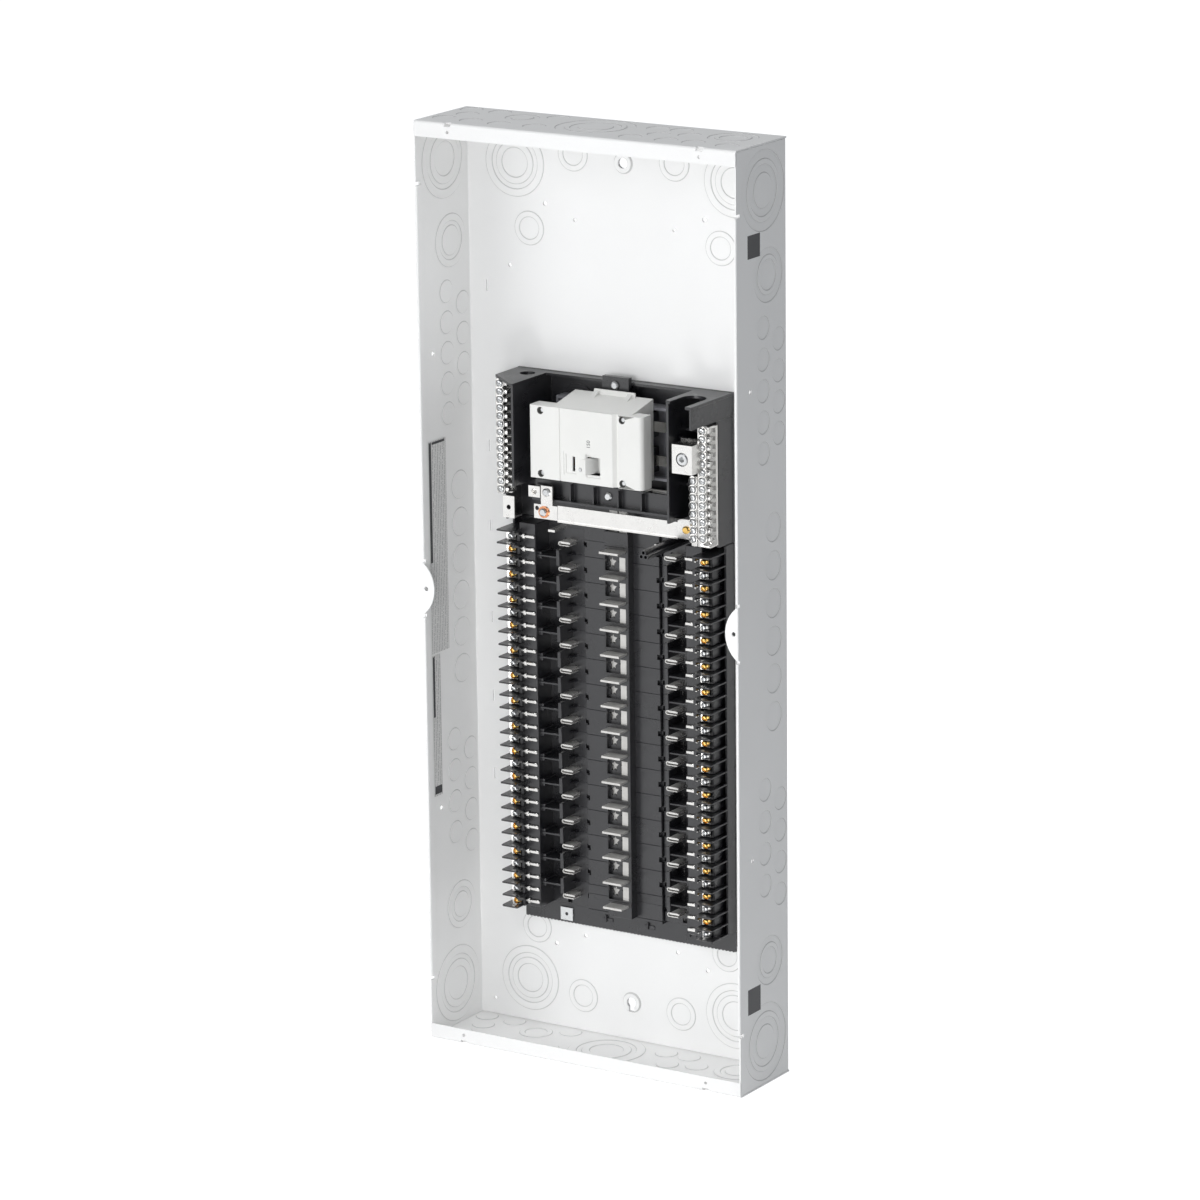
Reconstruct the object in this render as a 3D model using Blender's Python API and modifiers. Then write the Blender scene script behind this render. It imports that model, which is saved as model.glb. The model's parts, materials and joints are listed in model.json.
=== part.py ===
"""Indoor load centre: wall box, moulded interior, bus bars and a two-pole main breaker.

Frame: the origin is on the outside of the back wall, at its middle. +X is to the right,
+Y goes into the wall and +Z is up, so a point that stands h in front of the wall is at Y = -h.
"""
import math

import bpy
import bmesh
from mathutils import Matrix, Vector

# ---------------------------------------------------------------- fits, in metres
TOUCH = 0.0003            # left between two pieces that touch
RUNNING = 0.0006          # round a piece that turns or slides
SINK = 0.001              # how far one joined shape reaches into the next

# ---------------------------------------------------------------- wall box
BOX_WIDTH = 0.3556
BOX_HEIGHT = 0.9144
BOX_DEPTH = 0.0921
SHEET = 0.0015
LIP_HEIGHT = 0.015        # front flange of each end wall
TAB_LENGTH = 0.012        # welded tabs of the end walls, inside the box
HEM_DEPTH = 0.010
HEM_INSET = 0.0632        # from the box's end to the hem's end
HEM_THICKNESS = 0.0012
EAR_CHORD = 0.051
EAR_RISE = 0.011
EAR_HOLE_RADIUS = 0.0022
EAR_HOLE_INSET = 0.0045
RELIEF_HEIGHT = 0.003
END_HOLE_X = 0.139        # small screw holes in the front flanges
END_HOLE_DROP = 0.009
END_HOLE_RADIUS = 0.0015
HANGER_Z = 0.417          # wall screws, above and below the middle
HANGER_RADIUS = 0.005
KEYHOLE_SLOT_RADIUS = 0.003
KEYHOLE_DROP = 0.009
SIDE_HOLE_Z = 0.227
SIDE_HOLE_FRONT = 0.069
SIDE_HOLE_RADIUS = 0.0022

# ---------------------------------------------------------------- branch slots
SLOT_COUNT = 15
SLOT_PITCH = 0.0254
SLOT_TOP_Z = 0.0567       # upper edge of the first slot
TERMINALS_PER_SLOT = 2
MODULE_SLOTS = (6, 6, 3)  # slots in the upper, middle and lower rail of each side

# ---------------------------------------------------------------- moulded interior
PLASTIC = 0.0025
FLOOR_BACK = SHEET + TOUCH
CENTRE_HALF = 0.0424      # seam between the bus base and the rails
DECK_FRONT = 0.012
RAIL_DECK_FRONT = 0.0085
SPINE_HALF = 0.0135
SPINE_FRONT = 0.022
RAIL_TOP_MARGIN = 0.0058
FLANGE_HEIGHT = 0.020
HOLD_DOWN_X = -0.072
HOLD_DOWN_HALF = 0.007
HOLD_DOWN_REACH = (0.018, 0.005)   # lower and upper edge, below the flange's top
HOLD_DOWN_HOLE = 0.0018
FIN_THICKNESS = 0.0016
FIN_DEPTH_FRONT = 0.048
FIN_REACH = 0.0175        # from the rail's outer edge inwards
SHELF_REACH = 0.036       # terminal shelf, from the outer edge inwards
SHELF_FRONT = 0.033
RAIL_WALL_FRONT = 0.018
POST_OFFSET = 0.061       # barrier posts, from the middle
POST_WIDTH = 0.004
POST_HEIGHT = 0.016
POST_FRONT = 0.031
ARM_THICKNESS = 0.002

# ---------------------------------------------------------------- main breaker
BREAKER_LENGTH = 0.134
BREAKER_HEIGHT = 0.071
BREAKER_BOTTOM_Z = 0.1185
BREAKER_FRONT = 0.068
CASE_BACK = 0.006
CASE_FRONT = 0.0217
WING_LENGTH = 0.023       # shallow end of the cover, beside its full-depth core
RIGHT_WING_CUT = 0.0085    # the right wing is this much shorter than the left one
WING_BACK = 0.050
COVER_WALL = 0.0025
ROOF_RISE = 0.0085
POLE_PITCH = 0.034
PIVOT_X = 0.0045
PIVOT_SETBACK = 0.016     # pivot behind the breaker's face
HANDLE_THICKNESS = 0.005
HANDLE_HEIGHT = 0.016
HANDLE_PROUD = 0.0085     # tip in front of the face
HANDLE_TILT = math.radians(14)
HANDLE_Z_DROP = 0.0175    # below the breaker's middle
HANDLE_SLOT_WIDTH = 0.0145
BUTTON_X = -0.0103
BUTTON_RADIUS = 0.0018
TRIP_BAR_X = -0.0183
TRIP_BAR_SETBACK = 0.024
TRIP_BAR_RADIUS = 0.0025
CROSS_BAR_FRONT = 0.030
CROSS_BAR_RADIUS = 0.005
CONTACT_OPENING = math.radians(21)
CONTACT_X = -0.024
COVER_SCREW_RADIUS = 0.0028
LUG_WIRE_RADIUS = 0.0055
SCREW_WELL = 0.006        # depth of the cover screws' wells
COVER_SCREW_INSET = 0.0048
COVER_SCREW_COLUMNS = (-0.0545, 0.0365)
BUTTON_DROP = 0.0045      # below the handle's middle
BRIDGE_X = (-0.020, 0.026)
BRIDGE_FRONT = (0.0245, 0.0275)
BRIDGE_RISE = (0.004, 0.0125)
HUB_RADIUS = 0.0075       # the handle's round root

# ---------------------------------------------------------------- housing round the breaker
END_GAP = 0.0151          # from the breaker's end to the housing's wall
SIDE_CHANNEL = 0.0361     # from that wall's outside to the interior's edge
HOUSING_TOP_Z = 0.2088
HOUSING_PLATE = 0.003
LOW_WALL_FRONT = 0.014
LEFT_ARM_FRONT = 0.0439
LEFT_WALL_FRONT = 0.0733
DIVIDER_FRONT = 0.062
RIGHT_ARM_FRONT = 0.0796
RIGHT_ARM_DROP = 0.0225
CHANNEL_WALL_FRONT = 0.030
LEDGE_HEIGHT = 0.020
LEDGE_FRONT = 0.034
LEDGE_RIB_FRONT = 0.040
LEDGE_RIBS = (-0.040, -0.014, 0.014, 0.040)
BOSS_HALF = 0.015
BOSS_FRONT = 0.020
BOSS_BELOW = 0.0113       # from the housing's top edge
BOSS_ABOVE = 0.0052
BOSS_UPSTAND = 0.006      # depth of the part above the top edge
BOSS_SCREW_DROP = 0.003
HOUSING_HOLE_RADIUS = 0.0026
ARM_NOSE = 0.004
OVAL_RADIUS = 0.0075      # opening beside the left wall
LEDGE_LIP = 0.008
WIRE_SLOT_RADIUS = 0.0125
HOUSING_SCREW_RADIUS = 0.0042

# ---------------------------------------------------------------- bus and neutral
BAR_WIDTH = 0.009
BAR_THICKNESS = 0.0025
BAR_GAP_HALF = 0.002
RISER_WIDTH = 0.0065
RISER_GAP = 0.0015
LOAD_STRAP = 0.002
LOAD_STRAP_HALF = 0.005
BUS_A_BACK = 0.013
BUS_B_BACK = 0.0167
STAB_HALF = 0.0106
STAB_THICKNESS = 0.002
STAB_FRONT = 0.036
STAB_ROOT = 0.0198
NEUTRAL_X = 0.060
NEUTRAL_STRIP_WIDTH = 0.008
NEUTRAL_STRIP_BACK = 0.003
NEUTRAL_BLADE_HALF = 0.0065
NEUTRAL_BLADE_THICKNESS = 0.0016
NEUTRAL_BLADE_FRONT = 0.020
TERMINAL_BAR_WIDTH = 0.014
TERMINAL_BAR_BACK = 0.031
TERMINAL_BAR_FRONT = 0.046
WIRE_SCREW_PITCH = 0.008
WIRE_SCREW_RADIUS = 0.0026
STRAP_BACK = 0.043
STRAP_THICKNESS = 0.002
STRAP_HEIGHT = 0.015
STRAP_LIP = 0.003
NEUTRAL_LUG_WIDTH = 0.022
NEUTRAL_LUG_HEIGHT = 0.028
NEUTRAL_LUG_FRONT = 0.066
NEUTRAL_LUG_BORE = 0.0062
LUG_SCREW_BORE = 0.0066
INNER_COLUMN = 0.007      # the right bar's short second column
STRAP_LEFT = -0.051
LINK_LENGTH = 0.0145
LINK_SCREW_X = 0.0095     # from the link tab's left edge
LINK_SCREW_Z = 0.009      # above the strap's lower edge
PLATE_LEFT = -0.078
PLATE_TAB = (-0.070, -0.057)
BOND_LOWER = (-0.0665, 0.008)      # x, and drop below the strap's top
BOND_UPPER = (-0.0635, 0.010)      # x, and drop below the ledge's top
BOND_HOLE_RADIUS = 0.0024
BOND_SCREW_RADIUS = 0.0040
BOND_SCREW_HEAD = 0.0020
BOND_SHANK_RADIUS = 0.0019
RING_BORE = 0.0028
RING_RADIUS = 0.0058
RING_THICKNESS = 0.0010
GROUND_LUG_X = (-0.0835, -0.0705)
GROUND_LUG_BORE = 0.0030
GROUND_BORE_RISE = 0.0095
BRACKET_OFFSET = (0.0087, 0.0217)  # from the interior's left edge
BRACKET_DROP = 0.0195
BRACKET_HOLE_DROP = 0.009
SUPPORT_X = 0.072
SUPPORT_FRONT = 0.088
SUPPORT_TUBE_RADIUS = 0.0027

# ---------------------------------------------------------------- printed films in the box
LABEL_THICKNESS = 0.0002
LABEL_UPPER_FRONT = (0.050, 0.080)
LABEL_UPPER_Z = (-0.069, 0.142)
LABEL_LOWER_FRONT = (0.066, 0.080)
LABEL_LOWER_Z = (-0.213, -0.071)

# ---------------------------------------------------------------- values that follow
PITCH = SLOT_PITCH / TERMINALS_PER_SLOT
CAVITY_HALF = BREAKER_LENGTH / 2 + END_GAP
WALL_OUTSIDE = CAVITY_HALF + PLASTIC
INTERIOR_HALF = WALL_OUTSIDE + SIDE_CHANNEL
SLOT_BOTTOM_Z = SLOT_TOP_Z - SLOT_COUNT * SLOT_PITCH
RAIL_TOP_Z = SLOT_TOP_Z + RAIL_TOP_MARGIN
HOUSING_BOTTOM_Z = RAIL_TOP_Z + TOUCH
LEDGE_TOP_Z = BREAKER_BOTTOM_Z - 0.0095
LEDGE_BOTTOM_Z = LEDGE_TOP_Z - LEDGE_HEIGHT
STRAP_TOP_Z = LEDGE_BOTTOM_Z - 0.0017
STRAP_BOTTOM_Z = STRAP_TOP_Z - STRAP_HEIGHT
BREAKER_TOP_Z = BREAKER_BOTTOM_Z + BREAKER_HEIGHT
BREAKER_MID_Z = (BREAKER_BOTTOM_Z + BREAKER_TOP_Z) / 2
POLE_Z = (BREAKER_MID_Z - POLE_PITCH / 2, BREAKER_MID_Z + POLE_PITCH / 2)
CORE_HALF = BREAKER_LENGTH / 2 - WING_LENGTH
COVER_BACK = CASE_FRONT + TOUCH
CONTROL_Z = BREAKER_MID_Z - HANDLE_Z_DROP
PIVOT_FRONT = BREAKER_FRONT - PIVOT_SETBACK
TRIP_BAR_FRONT = BREAKER_FRONT - TRIP_BAR_SETBACK
BOX_TOP_Z = BOX_HEIGHT / 2

WHITE_PAINT = ("white_paint", (0.83, 0.83, 0.82), 0.45, 0.0)
BLACK_PLASTIC = ("black_plastic", (0.035, 0.035, 0.04), 0.5, 0.0)
WHITE_PLASTIC = ("white_plastic", (0.78, 0.78, 0.76), 0.45, 0.0)
GREY_PLASTIC = ("grey_plastic", (0.25, 0.25, 0.26), 0.5, 0.0)
TINNED = ("tinned_metal", (0.75, 0.75, 0.74), 0.3, 1.0)
COPPER = ("copper", (0.72, 0.38, 0.22), 0.3, 1.0)
BRASS = ("brass", (0.75, 0.58, 0.25), 0.3, 1.0)
ZINC = ("zinc_steel", (0.68, 0.68, 0.66), 0.35, 1.0)
PAPER = ("label_film", (0.7, 0.7, 0.69), 0.6, 0.0)
FIBRE = ("arc_fibre", (0.45, 0.2, 0.12), 0.8, 0.0)


# ---------------------------------------------------------------- helpers
def clear_scene():
    for thing in list(bpy.data.objects):
        bpy.data.objects.remove(thing, do_unlink=True)


def new_collection(name):
    made = bpy.data.collections.new(name)
    bpy.context.scene.collection.children.link(made)
    return made


def finish_of(name, finish):
    """Principled material of one piece."""
    slot, colour, roughness, metallic = finish
    made = bpy.data.materials.new(name + "_" + slot)
    made.use_nodes = True
    shader = made.node_tree.nodes["Principled BSDF"]
    shader.inputs["Base Color"].default_value = (*colour, 1.0)
    shader.inputs["Roughness"].default_value = roughness
    shader.inputs["Metallic"].default_value = metallic
    return made


def point(x, front, z):
    """Place given by its distance in front of the wall."""
    return Vector((x, -front, z))


def add_box(bm, x, front, z):
    """Box between two values of x, of distance in front of the wall, and of z."""
    low = Vector((min(x), -max(front), min(z)))
    high = Vector((max(x), -min(front), max(z)))
    place = Matrix.Translation((low + high) / 2) @ Matrix.Diagonal((*(high - low), 1.0))
    bmesh.ops.create_cube(bm, size=1.0, matrix=place)


def add_rod(bm, start, end, radius, sides=16, end_radius=None):
    """Round rod, or a cone where the end's radius differs."""
    along = end - start
    turn = along.to_track_quat('Z', 'Y').to_matrix().to_4x4()
    place = Matrix.Translation((start + end) / 2) @ turn
    bmesh.ops.create_cone(
        bm, cap_ends=True, segments=sides, radius1=radius,
        radius2=radius if end_radius is None else end_radius, depth=along.length, matrix=place)


def start_node(name, finish):
    """Empty mesh object that becomes one piece."""
    made = bpy.data.objects.new(name, bpy.data.meshes.new(name))
    made.data.materials.append(finish_of(name, finish))
    parts.objects.link(made)
    return made


def fill(target, build):
    """Run build on a new bmesh and store it in the object."""
    bm = bmesh.new()
    build(bm)
    bmesh.ops.recalc_face_normals(bm, faces=bm.faces)
    bm.to_mesh(target.data)
    bm.free()
    return target


def tool(name, build):
    """Helper shape that is joined to a piece or cut from it."""
    made = fill(bpy.data.objects.new(name, bpy.data.meshes.new(name)), build)
    return as_tool(made)


def as_tool(made):
    for home in list(made.users_collection):
        home.objects.unlink(made)
    tools.objects.link(made)
    made.hide_render = True
    made.display_type = 'WIRE'
    return made


def combine(target, other, operation):
    step = target.modifiers.new(operation.lower() + "_" + other.name, 'BOOLEAN')
    step.operation = operation
    step.solver = 'EXACT'
    step.object = other


def join(target, build):
    label = target.name + "_add" + str(len(target.modifiers))
    combine(target, tool(label, build), 'UNION')


def cut(target, build):
    label = target.name + "_cut" + str(len(target.modifiers))
    combine(target, tool(label, build), 'DIFFERENCE')


def node(name, finish, build):
    return fill(start_node(name, finish), build)


def box_node(name, finish, x, front, z):
    return node(name, finish, lambda bm: add_box(bm, x, front, z))


def outline(name, points, low, high, axis):
    """Flat outline square to an axis, as a closed solid from low to high along it."""
    curve = bpy.data.curves.new(name, 'CURVE')
    curve.dimensions = '2D'
    curve.fill_mode = 'BOTH'
    curve.extrude = (high - low) / 2
    spline = curve.splines.new('POLY')
    spline.points.add(len(points) - 1)
    for knot, (u, v) in zip(spline.points, points):
        knot.co = (u, v, 0.0, 1.0)
    spline.use_cyclic_u = True
    guide = bpy.data.objects.new(name + "_curve", curve)
    tools.objects.link(guide)
    columns = {'X': ((0, 1, 0), (0, 0, 1), (1, 0, 0)),
               'Y': ((1, 0, 0), (0, 0, 1), (0, -1, 0)),
               'Z': ((1, 0, 0), (0, 1, 0), (0, 0, 1))}[axis]
    turn = Matrix(columns).transposed().to_4x4()
    middle = Vector(columns[2]) * (low + high) / 2
    if axis == 'Y':
        middle = Vector((0, (low + high) / 2, 0))
    bpy.context.view_layer.update()
    evaluated = guide.evaluated_get(bpy.context.evaluated_depsgraph_get())
    mesh = bpy.data.meshes.new_from_object(evaluated)
    bpy.data.objects.remove(guide, do_unlink=True)
    bm = bmesh.new()
    bm.from_mesh(mesh)
    bmesh.ops.remove_doubles(bm, verts=bm.verts, dist=0.00001)
    bm.transform(Matrix.Translation(middle) @ turn)
    bmesh.ops.recalc_face_normals(bm, faces=bm.faces)
    mesh.name = name
    mesh.materials.clear()
    bm.to_mesh(mesh)
    bm.free()
    return bpy.data.objects.new(name, mesh)


def outline_node(name, finish, points, low, high, axis):
    made = outline(name, points, low, high, axis)
    made.data.materials.append(finish_of(name, finish))
    parts.objects.link(made)
    return made


def join_outline(target, points, low, high, axis):
    label = target.name + "_add" + str(len(target.modifiers))
    combine(target, as_tool(outline(label, points, low, high, axis)), 'UNION')


def cut_outline(target, points, low, high, axis):
    label = target.name + "_cut" + str(len(target.modifiers))
    combine(target, as_tool(outline(label, points, low, high, axis)), 'DIFFERENCE')


def turned(name, finish, profile, base, axis_turn, steps=16):
    """Turned piece: (radius, height) pairs from the top down its outer side; a ring's close."""
    made = start_node(name, finish)
    bm = bmesh.new()
    closed = profile[0] == profile[-1]
    knots = [bm.verts.new((radius, 0.0, height)) for radius, height in profile[:-1 if closed else None]]
    for first, second in zip(knots, knots[1:] + knots[:1] if closed else knots[1:]):
        bm.edges.new((first, second))
    bm.to_mesh(made.data)
    bm.free()
    spin = made.modifiers.new("turn", 'SCREW')
    spin.steps = steps
    spin.render_steps = steps
    spin.use_merge_vertices = True
    spin.merge_threshold = 0.00001
    made.rotation_euler = axis_turn
    made.location = base
    return made


def arc(centre, radius, start, end, steps):
    """Points on an arc, angles in degrees."""
    found = []
    for step in range(steps + 1):
        angle = math.radians(start + (end - start) * step / steps)
        found.append((centre[0] + radius * math.cos(angle), centre[1] + radius * math.sin(angle)))
    return found


TO_FRONT = (math.radians(90), 0.0, 0.0)      # a turned piece whose top faces the front


def screw_node(name, finish, x, front, z, radius, head, shank_radius, shank):
    """Pan-head screw with its head's underside at the given distance in front of the wall."""
    profile = ((0.0, head), (radius * 0.7, head), (radius, head * 0.5), (radius, 0.0),
               (shank_radius, 0.0), (shank_radius, -shank), (0.0, -shank))
    return turned(name, finish, profile, point(x, front, z), TO_FRONT, steps=12)


# ---------------------------------------------------------------- wall box
def folded_sheet(name, x, front, z, open_sides):
    """Bent sheet: a box's faces without the open ones, thickened inwards."""
    made = start_node(name, WHITE_PAINT)

    def build(bm):
        add_box(bm, x, front, z)
        gone = [face for face in bm.faces
                if any(face.normal.dot(Vector(side)) > 0.9 for side in open_sides)]
        bmesh.ops.delete(bm, geom=gone, context='FACES')

    bm = bmesh.new()
    build(bm)
    bm.to_mesh(made.data)
    bm.free()
    wall = made.modifiers.new("sheet", 'SOLIDIFY')
    wall.thickness = SHEET
    wall.offset = -1.0
    wall.use_even_offset = True
    return made


def make_wrap():
    """Back and both sides, one bent sheet, with hems and cover ears."""
    half = BOX_WIDTH / 2
    end = BOX_TOP_Z - SHEET - TOUCH
    wrap = folded_sheet("back_and_side_wrap", (-half, half), (0.0, BOX_DEPTH), (-end, end),
                        ((0, -1, 0), (0, 0, 1), (0, 0, -1)))
    hem_end = BOX_TOP_Z - HEM_INSET

    def hems(bm):
        for side in (-1, 1):
            outer = side * (half - SHEET / 2)
            inner = side * (half - SHEET - HEM_THICKNESS)
            add_box(bm, (outer, inner), (BOX_DEPTH - HEM_DEPTH, BOX_DEPTH - SHEET / 4),
                    (-hem_end, hem_end))

    join(wrap, hems)
    radius = (EAR_CHORD ** 2 / 4 + EAR_RISE ** 2) / (2 * EAR_RISE)
    spread = math.degrees(math.asin(EAR_CHORD / 2 / radius))
    for side in (-1, 1):
        centre = side * (half + radius - EAR_RISE - SHEET)
        facing = 180 if side > 0 else 0
        bow = arc((centre, 0.0), radius, facing - spread, facing + spread, 12)
        root = side * (half - SHEET / 2)
        points = [(root, bow[0][1])] + bow + [(root, bow[-1][1])]
        join_outline(wrap, points, -BOX_DEPTH + SHEET / 8, -BOX_DEPTH + SHEET, 'Y')

    def openings(bm):
        ear_hole = half - SHEET - EAR_HOLE_INSET
        for side in (-1, 1):
            add_rod(bm, point(side * ear_hole, BOX_DEPTH - SHEET * 2, 0),
                    point(side * ear_hole, BOX_DEPTH + SHEET, 0), EAR_HOLE_RADIUS, 12)
            for up in (-1, 1):
                relief = up * (EAR_CHORD / 2 + RELIEF_HEIGHT)
                add_box(bm, (side * (half - SHEET * 4), side * (half + SHEET)),
                        (BOX_DEPTH - SHEET * 2, BOX_DEPTH + SHEET),
                        (relief - RELIEF_HEIGHT / 2, relief + RELIEF_HEIGHT / 2))
                add_rod(bm, point(side * (half - SHEET * 3), SIDE_HOLE_FRONT, up * SIDE_HOLE_Z),
                        point(side * (half + SHEET), SIDE_HOLE_FRONT, up * SIDE_HOLE_Z),
                        SIDE_HOLE_RADIUS, 12)
                lip_edge = up * (BOX_TOP_Z - LIP_HEIGHT - TOUCH)
                add_box(bm, (side * (half - SHEET * 2), side * (half + SHEET)),
                        (BOX_DEPTH - SHEET - TOUCH, BOX_DEPTH + SHEET), (lip_edge, up * BOX_TOP_Z))
        add_rod(bm, point(0, -SHEET, HANGER_Z), point(0, SHEET * 2, HANGER_Z), HANGER_RADIUS, 20)
        add_rod(bm, point(0, -SHEET, -HANGER_Z), point(0, SHEET * 2, -HANGER_Z), HANGER_RADIUS, 20)

    cut(wrap, openings)

    def slots(bm):
        add_box(bm, (-KEYHOLE_SLOT_RADIUS, KEYHOLE_SLOT_RADIUS), (-SHEET, SHEET * 2),
                (-HANGER_Z, -HANGER_Z - KEYHOLE_DROP))

    cut(wrap, slots)


def make_end_wall(name, up):
    """End wall with a front flange over the whole width and welded tabs inside the box."""
    half = BOX_WIDTH / 2
    edge = up * BOX_TOP_Z
    wall = folded_sheet(name, (-half, half), (0.0, BOX_DEPTH), (edge, edge - up * LIP_HEIGHT),
                        ((1, 0, 0), (-1, 0, 0), (0, 1, 0), (0, 0, -up)))
    inside = half - SHEET - TOUCH

    def tabs(bm):
        reach = (edge - up * SHEET / 2, edge - up * TAB_LENGTH)
        for side in (-1, 1):
            add_box(bm, (side * inside, side * (inside - SHEET)),
                    (SHEET * 3, BOX_DEPTH - SHEET * 3), reach)
        add_box(bm, (-inside + SHEET * 3, inside - SHEET * 3),
                (SHEET + TOUCH, SHEET * 2 + TOUCH), reach)

    join(wall, tabs)

    def holes(bm):
        for side in (-1, 1):
            x = side * END_HOLE_X
            z = edge - up * END_HOLE_DROP
            add_rod(bm, point(x, BOX_DEPTH - SHEET * 2, z), point(x, BOX_DEPTH + SHEET, z),
                    END_HOLE_RADIUS, 10)

    cut(wall, holes)


# ---------------------------------------------------------------- moulded interior
def make_bus_base():
    """Centre moulding: a deck with a raised spine over the bus bars and a slot for each stab."""
    z = (SLOT_BOTTOM_Z, RAIL_TOP_Z)
    base = box_node("centre_bus_base", BLACK_PLASTIC, (-CENTRE_HALF, CENTRE_HALF),
                    (FLOOR_BACK, DECK_FRONT), z)
    join(base, lambda bm: add_box(bm, (-SPINE_HALF, SPINE_HALF),
                                  (DECK_FRONT - SINK, SPINE_FRONT), z))
    through = (z[0] - SINK, z[1] + SINK)

    def hollow(bm):
        for side in (-1, 1):
            add_box(bm, (side * (SPINE_HALF + PLASTIC), side * (CENTRE_HALF - PLASTIC)),
                    (FLOOR_BACK - SINK, DECK_FRONT - PLASTIC), through)
        add_box(bm, (-SPINE_HALF + PLASTIC, SPINE_HALF - PLASTIC),
                (FLOOR_BACK - SINK, SPINE_FRONT - PLASTIC), through)

    cut(base, hollow)

    def slots(bm):
        for slot in range(SLOT_COUNT):
            middle = slot_middle(slot)
            wide = STAB_HALF + RUNNING
            tall = STAB_THICKNESS / 2 + RUNNING
            add_box(bm, (-wide, wide), (SPINE_FRONT - PLASTIC - SINK, SPINE_FRONT + SINK),
                    (middle - tall, middle + tall))

    cut(base, slots)


def slot_middle(slot):
    return SLOT_TOP_Z - (slot + 0.5) * SLOT_PITCH


def make_rail(name, side, first, count):
    """One terminal rail module: deck, terminal shelf, barrier fins, posts and arms."""
    top = SLOT_TOP_Z - first * SLOT_PITCH
    bottom = top - count * SLOT_PITCH
    z = (top - TOUCH if first else RAIL_TOP_Z, bottom)
    inner = CENTRE_HALF + TOUCH
    shelf = INTERIOR_HALF - SHELF_REACH
    fin = INTERIOR_HALF - FIN_REACH

    def across(start, end):
        return (side * start, side * end)

    rail = box_node(name, BLACK_PLASTIC, across(inner, shelf + SINK),
                    (RAIL_DECK_FRONT - PLASTIC, RAIL_DECK_FRONT), z)

    def bodies(bm):
        add_box(bm, across(inner, inner + PLASTIC), (FLOOR_BACK, RAIL_DECK_FRONT - SINK), z)
        add_box(bm, across(shelf, fin + SINK), (FLOOR_BACK, SHELF_FRONT), z)

    join(rail, bodies)
    join(rail, lambda bm: add_box(bm, across(fin, INTERIOR_HALF),
                                  (FLOOR_BACK, FLOOR_BACK + PLASTIC), z))
    join(rail, lambda bm: add_box(bm, across(INTERIOR_HALF - PLASTIC, INTERIOR_HALF),
                                  (FLOOR_BACK + SINK, RAIL_WALL_FRONT), z))
    cut(rail, lambda bm: add_box(bm, across(shelf + PLASTIC, fin + SINK - PLASTIC),
                                 (FLOOR_BACK - SINK, SHELF_FRONT - PLASTIC),
                                 (z[0] - PLASTIC, z[1] + PLASTIC)))

    def fins(bm):
        last = first + count == SLOT_COUNT
        for step in range(count * TERMINALS_PER_SLOT):
            edge = top - step * PITCH - (0 if step else TOUCH)
            add_box(bm, across(fin - SINK, INTERIOR_HALF - SINK / 2),
                    (FLOOR_BACK + SINK, FIN_DEPTH_FRONT), (edge, edge - FIN_THICKNESS))
        if last:
            add_box(bm, across(fin - SINK, INTERIOR_HALF - SINK / 2),
                    (FLOOR_BACK + SINK, FIN_DEPTH_FRONT), (bottom, bottom + FIN_THICKNESS))

    join(rail, fins)

    def barriers(bm):
        for step in range(count + 1):
            edge = top - step * SLOT_PITCH
            low = max(edge - POST_HEIGHT / 2, bottom)
            above = POST_HEIGHT / 2 if step else ARM_THICKNESS / 2
            high = min(edge + above, z[0])
            add_box(bm, across(POST_OFFSET - POST_WIDTH / 2, POST_OFFSET + POST_WIDTH / 2),
                    (RAIL_DECK_FRONT - SINK, POST_FRONT), (low, high))

    join(rail, barriers)

    def arms(bm):
        for step in range(count + 1):
            edge = top - step * SLOT_PITCH
            low = max(edge - ARM_THICKNESS / 2, bottom)
            high = min(edge + ARM_THICKNESS / 2, z[0])
            add_box(bm, across(POST_OFFSET, shelf + SINK),
                    (RAIL_DECK_FRONT - SINK, POST_FRONT - SINK), (low, high))

    join(rail, arms)

    def slots(bm):
        for step in range(first, first + count):
            middle = slot_middle(step)
            wide = NEUTRAL_BLADE_HALF + RUNNING
            tall = NEUTRAL_BLADE_THICKNESS / 2 + RUNNING
            add_box(bm, across(NEUTRAL_X - wide, NEUTRAL_X + wide),
                    (RAIL_DECK_FRONT - PLASTIC - SINK, RAIL_DECK_FRONT + SINK),
                    (middle - tall, middle + tall))
        if not first:
            riser = NEUTRAL_STRIP_WIDTH / 2 + RUNNING
            add_box(bm, across(NEUTRAL_X - riser, NEUTRAL_X + riser),
                    (RAIL_DECK_FRONT - PLASTIC - SINK, RAIL_DECK_FRONT + SINK),
                    (RAIL_TOP_Z - BAR_THICKNESS - SINK, RAIL_TOP_Z + SINK))

    cut(rail, slots)


def make_bottom_flange():
    """Low strip below the slots that the hold-down plate grips."""
    top = SLOT_BOTTOM_Z - TOUCH
    flange = box_node("bottom_flange_strip", BLACK_PLASTIC, (-INTERIOR_HALF, INTERIOR_HALF),
                      (FLOOR_BACK, FLOOR_BACK + PLASTIC), (top - FLANGE_HEIGHT, top))

    def ridge(bm):
        add_box(bm, (-CENTRE_HALF, CENTRE_HALF),
                (FLOOR_BACK + SINK, DECK_FRONT), (top - PLASTIC, top))

    join(flange, ridge)
    plate_front = FLOOR_BACK + PLASTIC + TOUCH
    plate = box_node("bottom_hold_down_plate", ZINC,
                     (HOLD_DOWN_X - HOLD_DOWN_HALF, HOLD_DOWN_X + HOLD_DOWN_HALF),
                     (plate_front, plate_front + SHEET),
                     (top - HOLD_DOWN_REACH[0], top - HOLD_DOWN_REACH[1]))
    middle = top - sum(HOLD_DOWN_REACH) / 2
    cut(plate, lambda bm: add_rod(bm, point(HOLD_DOWN_X, plate_front - SINK, middle),
                                  point(HOLD_DOWN_X, plate_front + SHEET + SINK, middle),
                                  HOLD_DOWN_HOLE, 12))


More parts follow.
